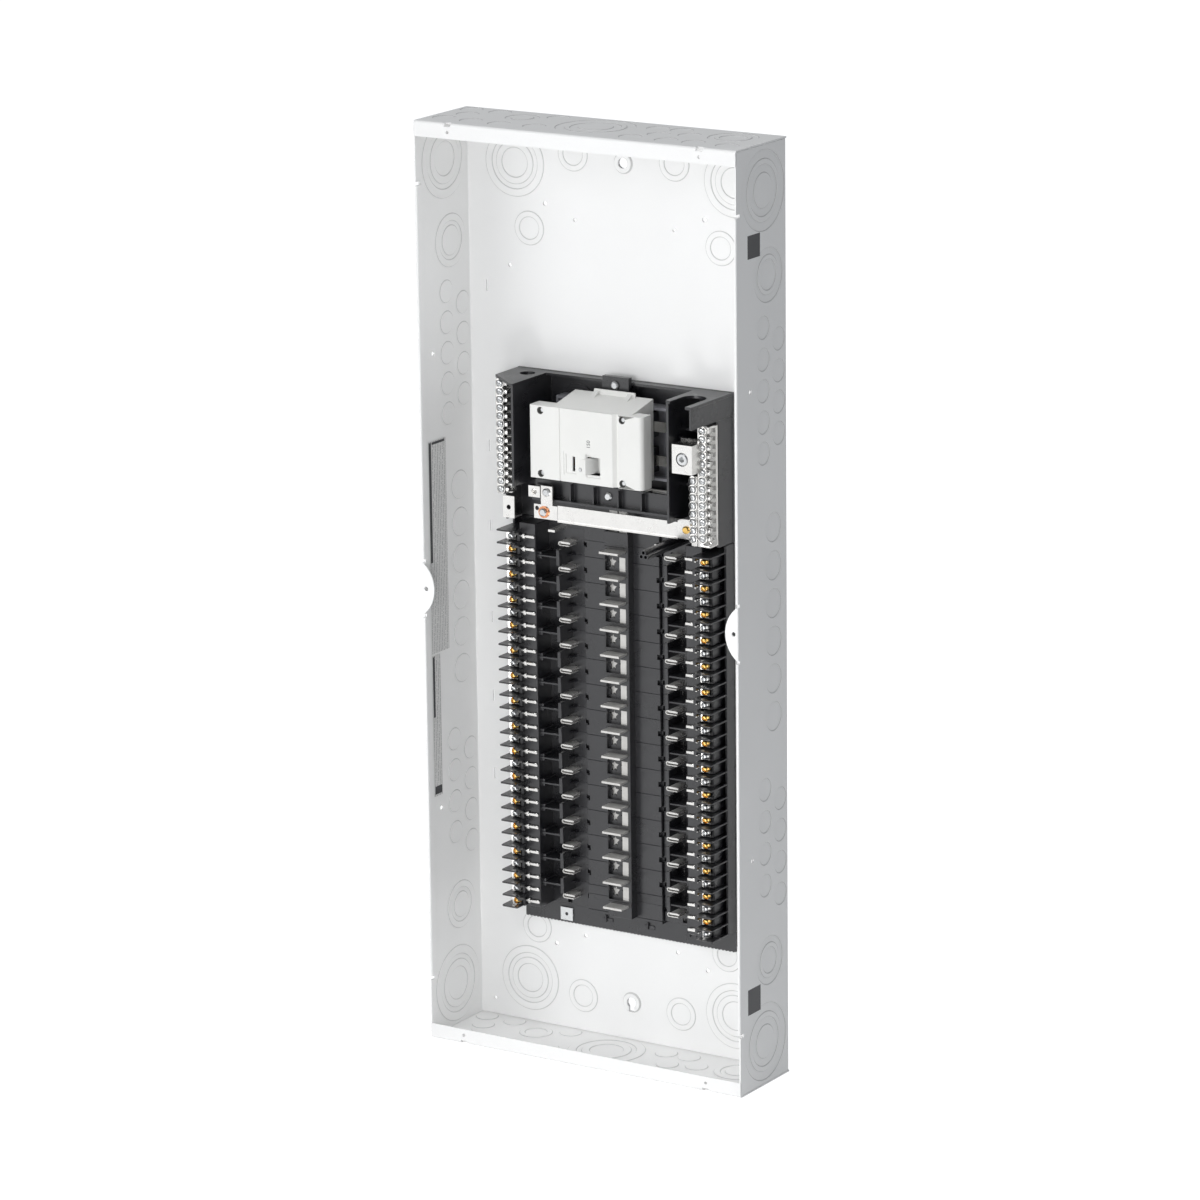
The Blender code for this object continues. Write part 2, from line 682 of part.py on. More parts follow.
def make_housing():
    """Tray round the main breaker with its walls, arms, ledge and bar supports."""
    top = HOUSING_TOP_Z
    plate_low = top - HOUSING_PLATE
    floor_front = FLOOR_BACK + HOUSING_PLATE
    housing = box_node("main_breaker_housing", BLACK_PLASTIC, (-INTERIOR_HALF, INTERIOR_HALF),
                       (FLOOR_BACK, floor_front), (HOUSING_BOTTOM_Z, top))
    slot_back = -LEFT_ARM_FRONT
    middle = (CAVITY_HALF + INTERIOR_HALF) / 2
    rounded = arc((middle, slot_back), WIRE_SLOT_RADIUS, 180, 0, 10)
    upper = [(-INTERIOR_HALF, -FLOOR_BACK), (-INTERIOR_HALF, -LEFT_ARM_FRONT),
             (-WALL_OUTSIDE, -LEFT_WALL_FRONT), (-CAVITY_HALF, -LEFT_WALL_FRONT),
             (-CAVITY_HALF, -LOW_WALL_FRONT), (CAVITY_HALF, -LOW_WALL_FRONT),
             (CAVITY_HALF, -DIVIDER_FRONT), (middle - WIRE_SLOT_RADIUS, -DIVIDER_FRONT - ARM_NOSE)]
    upper += rounded
    upper += [(middle + WIRE_SLOT_RADIUS, -RIGHT_ARM_FRONT),
              (INTERIOR_HALF, -RIGHT_ARM_FRONT), (INTERIOR_HALF, -FLOOR_BACK)]
    join_outline(housing, upper, plate_low, top - SINK / 4, 'Z')

    def walls(bm):
        add_box(bm, (-WALL_OUTSIDE, -CAVITY_HALF), (FLOOR_BACK + SINK, LEFT_WALL_FRONT - SINK / 2),
                (LEDGE_TOP_Z - SINK, plate_low + SINK))
        add_box(bm, (CAVITY_HALF, WALL_OUTSIDE), (FLOOR_BACK + SINK, DIVIDER_FRONT - SINK / 2),
                (LEDGE_BOTTOM_Z, plate_low + SINK))
        add_box(bm, (INTERIOR_HALF - PLASTIC, INTERIOR_HALF - SINK / 4),
                (FLOOR_BACK + SINK, RIGHT_ARM_FRONT - SINK / 2),
                (top - RIGHT_ARM_DROP, plate_low + SINK))
        add_box(bm, (SINK / 2 - INTERIOR_HALF, PLASTIC - INTERIOR_HALF),
                (FLOOR_BACK + SINK, CHANNEL_WALL_FRONT),
                (HOUSING_BOTTOM_Z + SINK / 2, plate_low + SINK))

    join(housing, walls)
    join(housing, lambda bm: add_box(bm, (INTERIOR_HALF - PLASTIC - SINK / 4, INTERIOR_HALF - SINK / 2),
                                     (FLOOR_BACK + SINK / 2, CHANNEL_WALL_FRONT),
                                     (HOUSING_BOTTOM_Z + SINK / 2, top - RIGHT_ARM_DROP + SINK)))

    def ledge(bm):
        add_box(bm, (-CAVITY_HALF - SINK, CAVITY_HALF + SINK), (LEDGE_FRONT - PLASTIC, LEDGE_FRONT),
                (LEDGE_BOTTOM_Z + SINK / 2, LEDGE_TOP_Z))
        add_box(bm, (-BOSS_HALF, BOSS_HALF), (FLOOR_BACK + SINK, BOSS_FRONT),
                (top - BOSS_BELOW, top))

    join(housing, ledge)
    join(housing, lambda bm: add_box(bm, (SINK / 4 - BOSS_HALF, BOSS_HALF - SINK / 4),
                                     (BOSS_FRONT - BOSS_UPSTAND, BOSS_FRONT - SINK / 4),
                                     (top - SINK, top + BOSS_ABOVE)))

    def ribs(bm):
        for x in LEDGE_RIBS:
            add_box(bm, (x - PLASTIC / 3, x + PLASTIC / 3),
                    (BUS_B_BACK + BAR_THICKNESS + RUNNING * 2, LEDGE_RIB_FRONT),
                    (LEDGE_BOTTOM_Z + SINK, LEDGE_TOP_Z - SINK))
        for side in (-1, 1):
            for z in (LEDGE_TOP_Z + 0.012, (LEDGE_TOP_Z + top) / 2, top - RIGHT_ARM_DROP - 0.012):
                add_box(bm, (side * (WALL_OUTSIDE - SINK), side * (INTERIOR_HALF - SINK)),
                        (FLOOR_BACK + SINK, CHANNEL_WALL_FRONT - SINK / 2),
                        (z - PLASTIC / 2, z + PLASTIC / 2))

    join(housing, ribs)
    ledge_foot = LEDGE_BOTTOM_Z + SINK / 4

    def lip(bm):
        add_box(bm, (-CAVITY_HALF, CAVITY_HALF + SINK), (LEDGE_FRONT - SINK, LEDGE_FRONT + LEDGE_LIP),
                (ledge_foot, ledge_foot + PLASTIC))

    join(housing, lip)

    def screw_holes(bm):
        z = top - BOSS_SCREW_DROP
        add_rod(bm, point(0, BOSS_FRONT - 0.012, z), point(0, BOSS_FRONT + SINK, z),
                HOUSING_HOLE_RADIUS, 12)
        add_rod(bm, point(0, LEDGE_FRONT - 0.006, ledge_screw_z()),
                point(0, LEDGE_FRONT + SINK, ledge_screw_z()), HOUSING_HOLE_RADIUS, 12)

    cut(housing, screw_holes)
    notch = (-(INTERIOR_HALF + WALL_OUTSIDE) / 2 + 0.006, -LEFT_ARM_FRONT * 0.55)
    oval = arc(notch, OVAL_RADIUS, 0, 330, 11)
    cut_outline(housing, oval, plate_low - SINK, top + SINK, 'Z')


def ledge_screw_z():
    return LEDGE_BOTTOM_Z + LEDGE_HEIGHT / 2 + SINK


def make_housing_screws():
    screw_node("top_housing_screw", ZINC, 0, BOSS_FRONT + TOUCH,
               HOUSING_TOP_Z - BOSS_SCREW_DROP,
               HOUSING_SCREW_RADIUS, 0.0022, 0.0020, 0.010)
    screw_node("ledge_housing_screw", ZINC, 0, LEDGE_FRONT + TOUCH, ledge_screw_z(),
               HOUSING_SCREW_RADIUS, 0.0022, 0.0020, 0.005)


def make_cover_support():
    """Standoff of three tubes on a foot, which the absent front cover rests on."""
    x = SUPPORT_X
    z = RAIL_TOP_Z
    foot = RAIL_DECK_FRONT + TOUCH
    post = box_node("cover_support_post", BLACK_PLASTIC, (x - 0.008, x + 0.008),
                    (foot, foot + PLASTIC), (z - 0.0045, z + 0.0055))
    spots = ((-0.0024, -0.0014), (0.0024, -0.0014), (0.0, 0.0026))
    for dx, dz in spots:
        join(post, lambda bm: add_rod(bm, point(x + dx, foot + SINK, z + dz),
                                      point(x + dx, SUPPORT_FRONT, z + dz),
                                      SUPPORT_TUBE_RADIUS, 12))

    def bores(bm):
        for dx, dz in spots:
            add_rod(bm, point(x + dx, SUPPORT_FRONT - 0.008, z + dz),
                    point(x + dx, SUPPORT_FRONT + SINK, z + dz), SUPPORT_TUBE_RADIUS * 0.6, 10)

    cut(post, bores)


# ---------------------------------------------------------------- bus bars and neutral
def make_bus_bar(name, side, back, slots, leg_top, riser, top):
    """Phase bar with its stabs, its leg under the breaker and its riser to the load end."""
    near = side * BAR_GAP_HALF
    far = side * (BAR_GAP_HALF + BAR_WIDTH)
    depth = (back, back + BAR_THICKNESS)
    bar = box_node(name, TINNED, (near, far), depth, (SLOT_BOTTOM_Z + PLASTIC * 2, leg_top))
    join(bar, lambda bm: add_box(bm, (min(near, far) + SINK / 2, riser + RISER_WIDTH - SINK / 4), depth,
                                 (leg_top - BAR_WIDTH, leg_top - SINK / 4)))
    join(bar, lambda bm: add_box(bm, (riser, riser + RISER_WIDTH), depth,
                                 (leg_top - BAR_WIDTH / 2, top)))

    def stabs(bm):
        for slot in slots:
            middle = slot_middle(slot)
            tall = (middle - STAB_THICKNESS / 2, middle + STAB_THICKNESS / 2)
            add_box(bm, (side * (BAR_GAP_HALF + SINK), side * (STAB_HALF - SINK)),
                    (back + SINK, STAB_ROOT + SINK), tall)

    join(bar, stabs)

    def blades(bm):
        for slot in slots:
            middle = slot_middle(slot)
            reach = STAB_THICKNESS / 2
            add_box(bm, (-STAB_HALF, STAB_HALF), (STAB_ROOT, STAB_FRONT),
                    (middle - reach, middle + reach))

    join(bar, blades)
    return bar


def riser_edges():
    """Left edges of the two risers, beside the breaker's right end."""
    first = BREAKER_LENGTH / 2 - SINK + TOUCH * 2
    return first, first + RISER_WIDTH + RISER_GAP


def make_bus_bars():
    leg_a = LEDGE_BOTTOM_Z + BAR_WIDTH + SINK
    leg_b = leg_a + BAR_WIDTH + SINK
    riser_a, riser_b = riser_edges()
    over = LOAD_STRAP_HALF + SINK
    make_bus_bar("bus_bar_phase_a", -1, BUS_A_BACK, range(0, SLOT_COUNT, 2), leg_a, riser_a,
                 POLE_Z[0] + over)
    make_bus_bar("bus_bar_phase_b", 1, BUS_B_BACK, range(1, SLOT_COUNT, 2), leg_b, riser_b,
                 POLE_Z[1] + over)


def make_neutral_strip(name, side):
    """Strip under a rail with one clip blade for each slot and a riser to the cross strap."""
    low = NEUTRAL_X - NEUTRAL_STRIP_WIDTH / 2
    high = NEUTRAL_X + NEUTRAL_STRIP_WIDTH / 2
    strip = box_node(name, TINNED, (side * low, side * high),
                     (NEUTRAL_STRIP_BACK, NEUTRAL_STRIP_BACK + BAR_THICKNESS),
                     (SLOT_BOTTOM_Z + PLASTIC, RAIL_TOP_Z - TOUCH))

    def risers(bm):
        add_box(bm, (side * (low + SINK / 4), side * (high - SINK / 4)),
                (NEUTRAL_STRIP_BACK + SINK, STRAP_BACK - TOUCH),
                (RAIL_TOP_Z - TOUCH - BAR_THICKNESS, RAIL_TOP_Z - TOUCH * 2))

    join(strip, risers)

    def blades(bm):
        for slot in range(SLOT_COUNT):
            middle = slot_middle(slot)
            add_box(bm, (side * (NEUTRAL_X - NEUTRAL_BLADE_HALF),
                         side * (NEUTRAL_X + NEUTRAL_BLADE_HALF)),
                    (NEUTRAL_STRIP_BACK + SINK, NEUTRAL_BLADE_FRONT),
                    (middle - NEUTRAL_BLADE_THICKNESS / 2, middle + NEUTRAL_BLADE_THICKNESS / 2))

    join(strip, blades)


def make_terminal_bar(name, x, z, extra=None):
    """Neutral bar with a column of wire screws' threaded holes in its front."""
    bar = box_node(name, TINNED, x, (TERMINAL_BAR_BACK, TERMINAL_BAR_FRONT), z)
    if extra:
        join(bar, extra)
    column = (x[0] + x[1]) / 2
    count = int((max(z) - min(z)) / WIRE_SCREW_PITCH)

    def holes(bm):
        for step in range(count):
            height = max(z) - (step + 0.5) * WIRE_SCREW_PITCH
            add_rod(bm, point(column, TERMINAL_BAR_FRONT - 0.008, height),
                    point(column, TERMINAL_BAR_FRONT + SINK, height), WIRE_SCREW_RADIUS, 8)

    cut(bar, holes)
    return bar


def make_neutral_parts():
    edge = INTERIOR_HALF - TOUCH
    inner = edge - TERMINAL_BAR_WIDTH
    left_top = HOUSING_TOP_Z - HOUSING_PLATE - TOUCH
    make_terminal_bar("neutral_bar_left", (-edge, -inner), (LEDGE_BOTTOM_Z + 0.003, left_top))
    right_top = HOUSING_TOP_Z - RIGHT_ARM_DROP - 0.003
    lug_x = (inner - 0.016 + SINK, inner + 0.006)
    lug_z = BREAKER_MID_Z

    def seat(bm):
        add_box(bm, (inner - 0.018, inner + SINK), (TERMINAL_BAR_FRONT - 0.004, TERMINAL_BAR_FRONT),
                (lug_z - 0.016, lug_z + 0.016))
        add_box(bm, (inner - INNER_COLUMN, inner + SINK), (TERMINAL_BAR_BACK, TERMINAL_BAR_FRONT),
                (HOUSING_BOTTOM_Z + 0.003, LEDGE_TOP_Z + 0.014))

    make_terminal_bar("neutral_bar_right", (inner, edge), (HOUSING_BOTTOM_Z + 0.003, right_top), seat)
    middle = sum(lug_x) / 2
    back = TERMINAL_BAR_FRONT + TOUCH
    half_wide = NEUTRAL_LUG_WIDTH / 2
    half_tall = NEUTRAL_LUG_HEIGHT / 2
    lug = box_node("main_neutral_lug", TINNED, (middle - half_wide, middle + half_wide),
                   (back, NEUTRAL_LUG_FRONT), (lug_z - half_tall, lug_z + half_tall))
    bore_front = back + 0.002 + NEUTRAL_LUG_BORE
    cut(lug, lambda bm: add_rod(bm, point(middle, bore_front, lug_z - half_tall - SINK),
                                point(middle, bore_front, lug_z + half_tall + SINK),
                                NEUTRAL_LUG_BORE, 20))
    cut(lug, lambda bm: add_rod(bm, point(middle, bore_front, lug_z),
                                point(middle, NEUTRAL_LUG_FRONT + SINK, lug_z),
                                LUG_SCREW_BORE, 20))
    set_screw("main_neutral_lug_screw", middle, bore_front + NEUTRAL_LUG_BORE - 0.003,
              NEUTRAL_LUG_FRONT + 0.0005, lug_z, 0.0060)


def set_screw(name, x, back, front, z, radius):
    """Socket set screw: a turned plug with a hexagonal hollow."""
    profile = ((0.0, front - back), (radius * 0.85, front - back),
               (radius, front - back - radius * 0.15), (radius, 0.0), (0.0, 0.0))
    made = turned(name, ZINC, profile, point(x, back, z), TO_FRONT, steps=20)
    hollow = tool(name + "_socket", lambda bm: add_rod(
        bm, point(x, front - radius * 0.6, z), point(x, front + SINK, z), radius * 0.5, 6))
    combine(made, hollow, 'DIFFERENCE')
    return made


def make_straps():
    """Cross strap, bonding pieces and their screws, in one plane below the ledge."""
    front = STRAP_BACK + STRAP_THICKNESS
    edge = INTERIOR_HALF - TOUCH - TERMINAL_BAR_WIDTH - INNER_COLUMN
    link_left = edge - LINK_LENGTH
    strap = box_node("neutral_cross_strap", TINNED, (STRAP_LEFT, link_left - TOUCH),
                     (STRAP_BACK, front), (STRAP_BOTTOM_Z, STRAP_TOP_Z))
    join(strap, lambda bm: add_box(bm, (STRAP_LEFT + SINK / 4, link_left - TOUCH - SINK / 4),
                                   (STRAP_BACK - STRAP_LIP, front + SINK),
                                   (STRAP_BOTTOM_Z - 0.0012, STRAP_BOTTOM_Z + SINK / 2)))
    plate = box_node("left_bonding_plate", TINNED, (PLATE_LEFT, STRAP_LEFT - TOUCH), (STRAP_BACK, front),
                     (STRAP_BOTTOM_Z, STRAP_TOP_Z - 0.001))
    join(plate, lambda bm: add_box(bm, PLATE_TAB, (STRAP_BACK, front),
                                   (STRAP_TOP_Z - 0.002, LEDGE_TOP_Z - 0.004)))

    lower_z = STRAP_TOP_Z - BOND_LOWER[1]
    upper_z = LEDGE_TOP_Z - BOND_UPPER[1]

    def plate_holes(bm):
        for x, z, radius in ((-0.0745, STRAP_TOP_Z - 0.005, 0.0022),
                             (BOND_LOWER[0], lower_z, BOND_HOLE_RADIUS),
                             (BOND_UPPER[0], upper_z, BOND_HOLE_RADIUS)):
            add_rod(bm, point(x, STRAP_BACK - SINK, z), point(x, front + SINK, z), radius, 12)

    cut(plate, plate_holes)
    ring = ((RING_BORE, 0.0), (RING_BORE, RING_THICKNESS), (RING_RADIUS, RING_THICKNESS),
            (RING_RADIUS, 0.0), (RING_BORE, 0.0))
    turned("copper_bonding_ring", COPPER, ring, point(BOND_LOWER[0], front + TOUCH, lower_z),
           TO_FRONT, steps=16)
    screw_node("bonding_screw_lower", ZINC, BOND_LOWER[0], front + TOUCH * 2 + RING_THICKNESS,
               lower_z, BOND_SCREW_RADIUS, BOND_SCREW_HEAD, BOND_SHANK_RADIUS, 0.008)
    screw_node("bonding_screw_upper", ZINC, BOND_UPPER[0], front + TOUCH, upper_z,
               BOND_SCREW_RADIUS, BOND_SCREW_HEAD, BOND_SHANK_RADIUS, 0.004)
    make_ground_lug(front)
    make_bar_bracket()
    link = box_node("right_link_tab", TINNED, (link_left, edge - TOUCH),
                    (front + TOUCH, front + TOUCH + SHEET), (STRAP_BOTTOM_Z, STRAP_TOP_Z + 0.004))
    screw_x = link_left + LINK_SCREW_X
    screw_z = STRAP_BOTTOM_Z + LINK_SCREW_Z
    cut(link, lambda bm: add_rod(bm, point(screw_x, front - SINK, screw_z),
                                 point(screw_x, front + 0.004, screw_z), 0.0022, 12))
    screw_node("right_link_screw", BRASS, screw_x, front + TOUCH * 2 + SHEET, screw_z,
               0.0038, BOND_SCREW_HEAD, 0.0017, 0.008)


def make_ground_lug(front):
    """Small block that a bonding wire passes into from the front."""
    block = box_node("ground_lug_block", TINNED, GROUND_LUG_X, (STRAP_BACK - 0.005, front + SINK),
                     (LEDGE_BOTTOM_Z + 0.004, LEDGE_TOP_Z - 0.005))
    middle = sum(GROUND_LUG_X) / 2
    z = LEDGE_BOTTOM_Z + GROUND_BORE_RISE
    cut(block, lambda bm: add_rod(bm, point(middle, STRAP_BACK - 0.002, z),
                                  point(middle, front + SINK * 2, z), GROUND_LUG_BORE, 12))


def make_bar_bracket():
    """Bracket below the left neutral bar, with a foot that turns back under it."""
    bracket_x = [offset - INTERIOR_HALF for offset in BRACKET_OFFSET]
    low = LEDGE_BOTTOM_Z - BRACKET_DROP
    bracket = box_node("left_bar_bracket", TINNED, bracket_x,
                       (TERMINAL_BAR_FRONT, TERMINAL_BAR_FRONT + SHEET),
                       (low, LEDGE_BOTTOM_Z + 0.0022))
    join(bracket, lambda bm: add_box(bm, (bracket_x[0] + SINK / 4, bracket_x[1] - SINK / 4),
                                     (TERMINAL_BAR_FRONT - 0.012, TERMINAL_BAR_FRONT + SINK),
                                     (low + SINK / 4, low + SHEET + SINK / 4)))
    middle = sum(bracket_x) / 2
    hole_z = LEDGE_BOTTOM_Z - BRACKET_HOLE_DROP
    cut(bracket, lambda bm: add_rod(bm, point(middle, TERMINAL_BAR_FRONT - SINK, hole_z),
                                    point(middle, TERMINAL_BAR_FRONT + SHEET * 2, hole_z),
                                    BOND_HOLE_RADIUS, 12))


# ---------------------------------------------------------------- main breaker
def make_breaker_case():
    """Rear half of the main breaker: an open tray with wire mouths in its left end."""
    half = BREAKER_LENGTH / 2 - SINK
    case = box_node("main_breaker_case", GREY_PLASTIC, (-half, half), (CASE_BACK, CASE_FRONT),
                    (BREAKER_BOTTOM_Z, BREAKER_TOP_Z))
    wall = COVER_WALL
    cut(case, lambda bm: add_box(bm, (-half + wall, half - wall), (CASE_BACK + wall, CASE_FRONT + SINK),
                                 (BREAKER_BOTTOM_Z + wall, BREAKER_TOP_Z - wall)))

    def mouths(bm):
        for z in POLE_Z:
            add_box(bm, (-half - SINK, -half + wall + SINK), (CASE_BACK + wall + SINK, CASE_FRONT + SINK),
                    (z - LUG_WIRE_RADIUS - SINK, z + LUG_WIRE_RADIUS + SINK))
            add_box(bm, (half - wall - SINK, half + SINK), (CASE_BACK + wall + SINK, CASE_FRONT + SINK),
                    (z - 0.007, z + 0.007))

    cut(case, mouths)


def make_breaker_cover():
    """Front half: a full-depth core with a sloping roof and a shallow wing at each end."""
    half = BREAKER_LENGTH / 2
    low = BREAKER_BOTTOM_Z
    core = outline_node("main_breaker_cover", WHITE_PLASTIC,
                        [(-COVER_BACK, low), (-BREAKER_FRONT, low), (-BREAKER_FRONT, BREAKER_TOP_Z),
                         (-COVER_BACK, BREAKER_TOP_Z + ROOF_RISE)], -CORE_HALF, CORE_HALF, 'X')
    right = half - RIGHT_WING_CUT
    join(core, lambda bm: add_box(bm, (-half, right), (WING_BACK, BREAKER_FRONT - SINK / 5),
                                  (low + SINK / 5, BREAKER_TOP_Z - SINK / 5)))
    wall = COVER_WALL
    cut(core, lambda bm: add_box(bm, (-CORE_HALF + wall, CORE_HALF - wall),
                                 (COVER_BACK - SINK, BREAKER_FRONT - wall),
                                 (low + wall, BREAKER_TOP_Z - wall)))
    cut(core, lambda bm: add_box(bm, (-half + wall, right - wall), (WING_BACK - SINK,
                                 BREAKER_FRONT - wall - SINK / 5),
                                 (low + wall + SINK / 5, BREAKER_TOP_Z - wall - SINK / 5)))

    def bosses(bm):
        for x, z in cover_screws():
            rim = 0.0045
            add_box(bm, (x - rim, x + rim), (BREAKER_FRONT - 0.010, BREAKER_FRONT - SINK),
                    (max(z - rim, low + SINK / 2), min(z + rim, BREAKER_TOP_Z - SINK / 2)))

    join(core, bosses)

    def openings(bm):
        for x, z in cover_screws():
            add_rod(bm, point(x, BREAKER_FRONT - SCREW_WELL, z), point(x, BREAKER_FRONT + SINK, z),
                    COVER_SCREW_RADIUS + RUNNING, 12)
        slot = HANDLE_SLOT_WIDTH / 2
        tall = HANDLE_HEIGHT / 2 + RUNNING
        add_box(bm, (PIVOT_X - slot, PIVOT_X + slot), (BREAKER_FRONT - wall - SINK * 2,
                BREAKER_FRONT + SINK), (CONTROL_Z - tall, CONTROL_Z + tall))
        add_rod(bm, point(BUTTON_X, BREAKER_FRONT - wall - SINK * 2, button_z()),
                point(BUTTON_X, BREAKER_FRONT + SINK, button_z()), BUTTON_RADIUS + RUNNING / 2, 12)

    cut(core, openings)

    def shank_holes(bm):
        for x, z in cover_screws():
            add_rod(bm, point(x, BREAKER_FRONT - SCREW_WELL * 2, z),
                    point(x, BREAKER_FRONT - SCREW_WELL + SINK, z),
                    0.0016, 8)

    cut(core, shank_holes)

    def bridge(bm):
        add_box(bm, BRIDGE_X, BRIDGE_FRONT,
                (BREAKER_TOP_Z + BRIDGE_RISE[0], BREAKER_TOP_Z + BRIDGE_RISE[1]))

    join(core, bridge)
    number = 0
    for x, z in cover_screws():
        number += 1
        screw_node("cover_screw_" + str(number), ZINC, x, BREAKER_FRONT - SCREW_WELL + TOUCH, z,
                   COVER_SCREW_RADIUS, 0.0025, 0.0012, 0.0055)


def cover_screws():
    """Places of the four cover screws, x and z."""
    low = BREAKER_BOTTOM_Z + COVER_SCREW_INSET
    high = BREAKER_TOP_Z - COVER_SCREW_INSET
    return [(x, z) for x in COVER_SCREW_COLUMNS for z in (high, low)]


def button_z():
    return CONTROL_Z - BUTTON_DROP


def make_breaker_controls():
    """Handle that swings about a vertical axis, and the push-to-trip button with its bar."""
    handle = node("main_breaker_handle", WHITE_PLASTIC, lambda bm: add_rod(
        bm, Vector((0, 0, -HANDLE_HEIGHT / 2)), Vector((0, 0, HANDLE_HEIGHT / 2)), HUB_RADIUS, 20))
    reach = HANDLE_PROUD + PIVOT_SETBACK
    half = HANDLE_THICKNESS / 2
    join(handle, lambda bm: add_box(bm, (-half, half), (0.0, reach),
                                    (-HANDLE_HEIGHT / 2 + SINK / 2, HANDLE_HEIGHT / 2 - SINK / 2)))
    for helper in (step.object for step in handle.modifiers):
        helper.parent = handle
    handle.location = point(PIVOT_X, PIVOT_FRONT, CONTROL_Z)
    handle.rotation_euler = (0.0, 0.0, -HANDLE_TILT)
    end = 0.0055
    profile = ((0.0, end), (BUTTON_RADIUS, end), (BUTTON_RADIUS, -0.0050), (BUTTON_RADIUS * 1.7, -0.0050),
               (BUTTON_RADIUS * 1.7, -0.0065), (BUTTON_RADIUS, -0.0065), (BUTTON_RADIUS, -0.0140),
               (0.0, -0.0140))
    turned("push_to_trip_button", ZINC, profile, point(BUTTON_X, BREAKER_FRONT - 0.0050, button_z()),
           TO_FRONT, steps=12)
    inside = (BREAKER_BOTTOM_Z + COVER_WALL + RUNNING * 2, BREAKER_TOP_Z - COVER_WALL - RUNNING * 2)
    bar = node("trip_bar", BLACK_PLASTIC, lambda bm: add_rod(
        bm, point(TRIP_BAR_X, TRIP_BAR_FRONT, inside[0]), point(TRIP_BAR_X, TRIP_BAR_FRONT, inside[1]),
        TRIP_BAR_RADIUS, 12))
    stem = BREAKER_FRONT - 0.0190
    join(bar, lambda bm: add_box(bm, (TRIP_BAR_X, BUTTON_X + 0.0018),
                                 (TRIP_BAR_FRONT + 0.0012, stem - TOUCH),
                                 (button_z() - 0.002, button_z() + 0.002)))


def make_breaker_mechanism():
    """Per pole: lug, fixed contact, moving arm, arc chute, trip unit and load terminal."""
    inside = (BREAKER_BOTTOM_Z + COVER_WALL + RUNNING * 2, BREAKER_TOP_Z - COVER_WALL - RUNNING * 2)
    node("contact_cross_bar", BLACK_PLASTIC, lambda bm: add_rod(
        bm, point(0, CROSS_BAR_FRONT, inside[0]), point(0, CROSS_BAR_FRONT, inside[1]),
        CROSS_BAR_RADIUS, 20))
    floor = CASE_BACK + COVER_WALL + TOUCH
    end = BREAKER_LENGTH / 2
    for label, z in zip(("lower", "upper"), POLE_Z):
        make_line_end(label, z, floor, end)
        make_moving_arm(label, z)
        make_load_end(label, z, floor)


def make_line_end(label, z, floor, end):
    lug_left = -end + SINK + COVER_WALL + TOUCH
    lug_right = lug_left + 0.0185
    lug_front = floor + 0.022
    lug = box_node("line_lug_" + label, TINNED, (lug_left, lug_right), (floor, lug_front),
                   (z - 0.0085, z + 0.0085))
    wire_front = floor + 0.002 + LUG_WIRE_RADIUS
    middle = (lug_left + lug_right) / 2
    cut(lug, lambda bm: add_rod(bm, point(lug_left - SINK, wire_front, z),
                                point(lug_right + SINK, wire_front, z), LUG_WIRE_RADIUS, 16))
    cut(lug, lambda bm: add_rod(bm, point(middle, wire_front, z), point(middle, lug_front + SINK, z),
                                0.0047, 16))
    set_screw("line_lug_screw_" + label, middle, wire_front + LUG_WIRE_RADIUS - 0.002,
              lug_front + 0.0005, z, 0.0042)
    contact = box_node("fixed_contact_" + label, COPPER, (lug_right + TOUCH, CONTACT_X + 0.0035),
                       (floor, floor + BAR_THICKNESS), (z - 0.005, z + 0.005))
    join(contact, lambda bm: add_box(bm, (CONTACT_X - 0.003, CONTACT_X + 0.003),
                                     (floor + SINK, contact_front(floor)), (z - 0.003, z + 0.003)))
    chute_left = -CORE_HALF + COVER_WALL + TOUCH
    chute = box_node("arc_chute_" + label, FIBRE, (chute_left, chute_left + 0.002),
                     (floor + 0.014, floor + 0.038), (z - 0.009, z + 0.009))

    def plates(bm):
        for step in range(6):
            front = floor + 0.016 + step * 0.004
            add_box(bm, (chute_left + SINK / 2, chute_left + 0.0095), (front, front + 0.0012),
                    (z - 0.0085, z + 0.0085))

    join(chute, plates)


def contact_front(floor):
    return floor + BAR_THICKNESS + 0.0015


def make_moving_arm(label, z):
    """Contact arm on the cross bar, drawn closed and then opened about the bar's axis."""
    floor = CASE_BACK + COVER_WALL + TOUCH
    drop = CROSS_BAR_FRONT - contact_front(floor) - RUNNING
    name = "moving_contact_arm_" + label
    arm = node(name, COPPER, lambda bm: add_rod(bm, Vector((0, 0, -0.003)), Vector((0, 0, 0.003)),
                                               CROSS_BAR_RADIUS + 0.003, 20))
    tip = [(-0.004, 0.004), (-0.006, -0.004), (CONTACT_X - 0.003, drop - 0.006),
           (CONTACT_X - 0.003, drop), (CONTACT_X + 0.003, drop), (CONTACT_X + 0.004, drop - 0.003)]
    join_outline(arm, tip, -0.0026, 0.0026, 'Z')
    cut(arm, lambda bm: add_rod(bm, Vector((0, 0, -0.004)), Vector((0, 0, 0.004)),
                                CROSS_BAR_RADIUS + TOUCH, 20))
    for helper in (step.object for step in arm.modifiers):
        helper.parent = arm
    arm.location = point(0, CROSS_BAR_FRONT, z)
    arm.rotation_euler = (0.0, 0.0, CONTACT_OPENING)


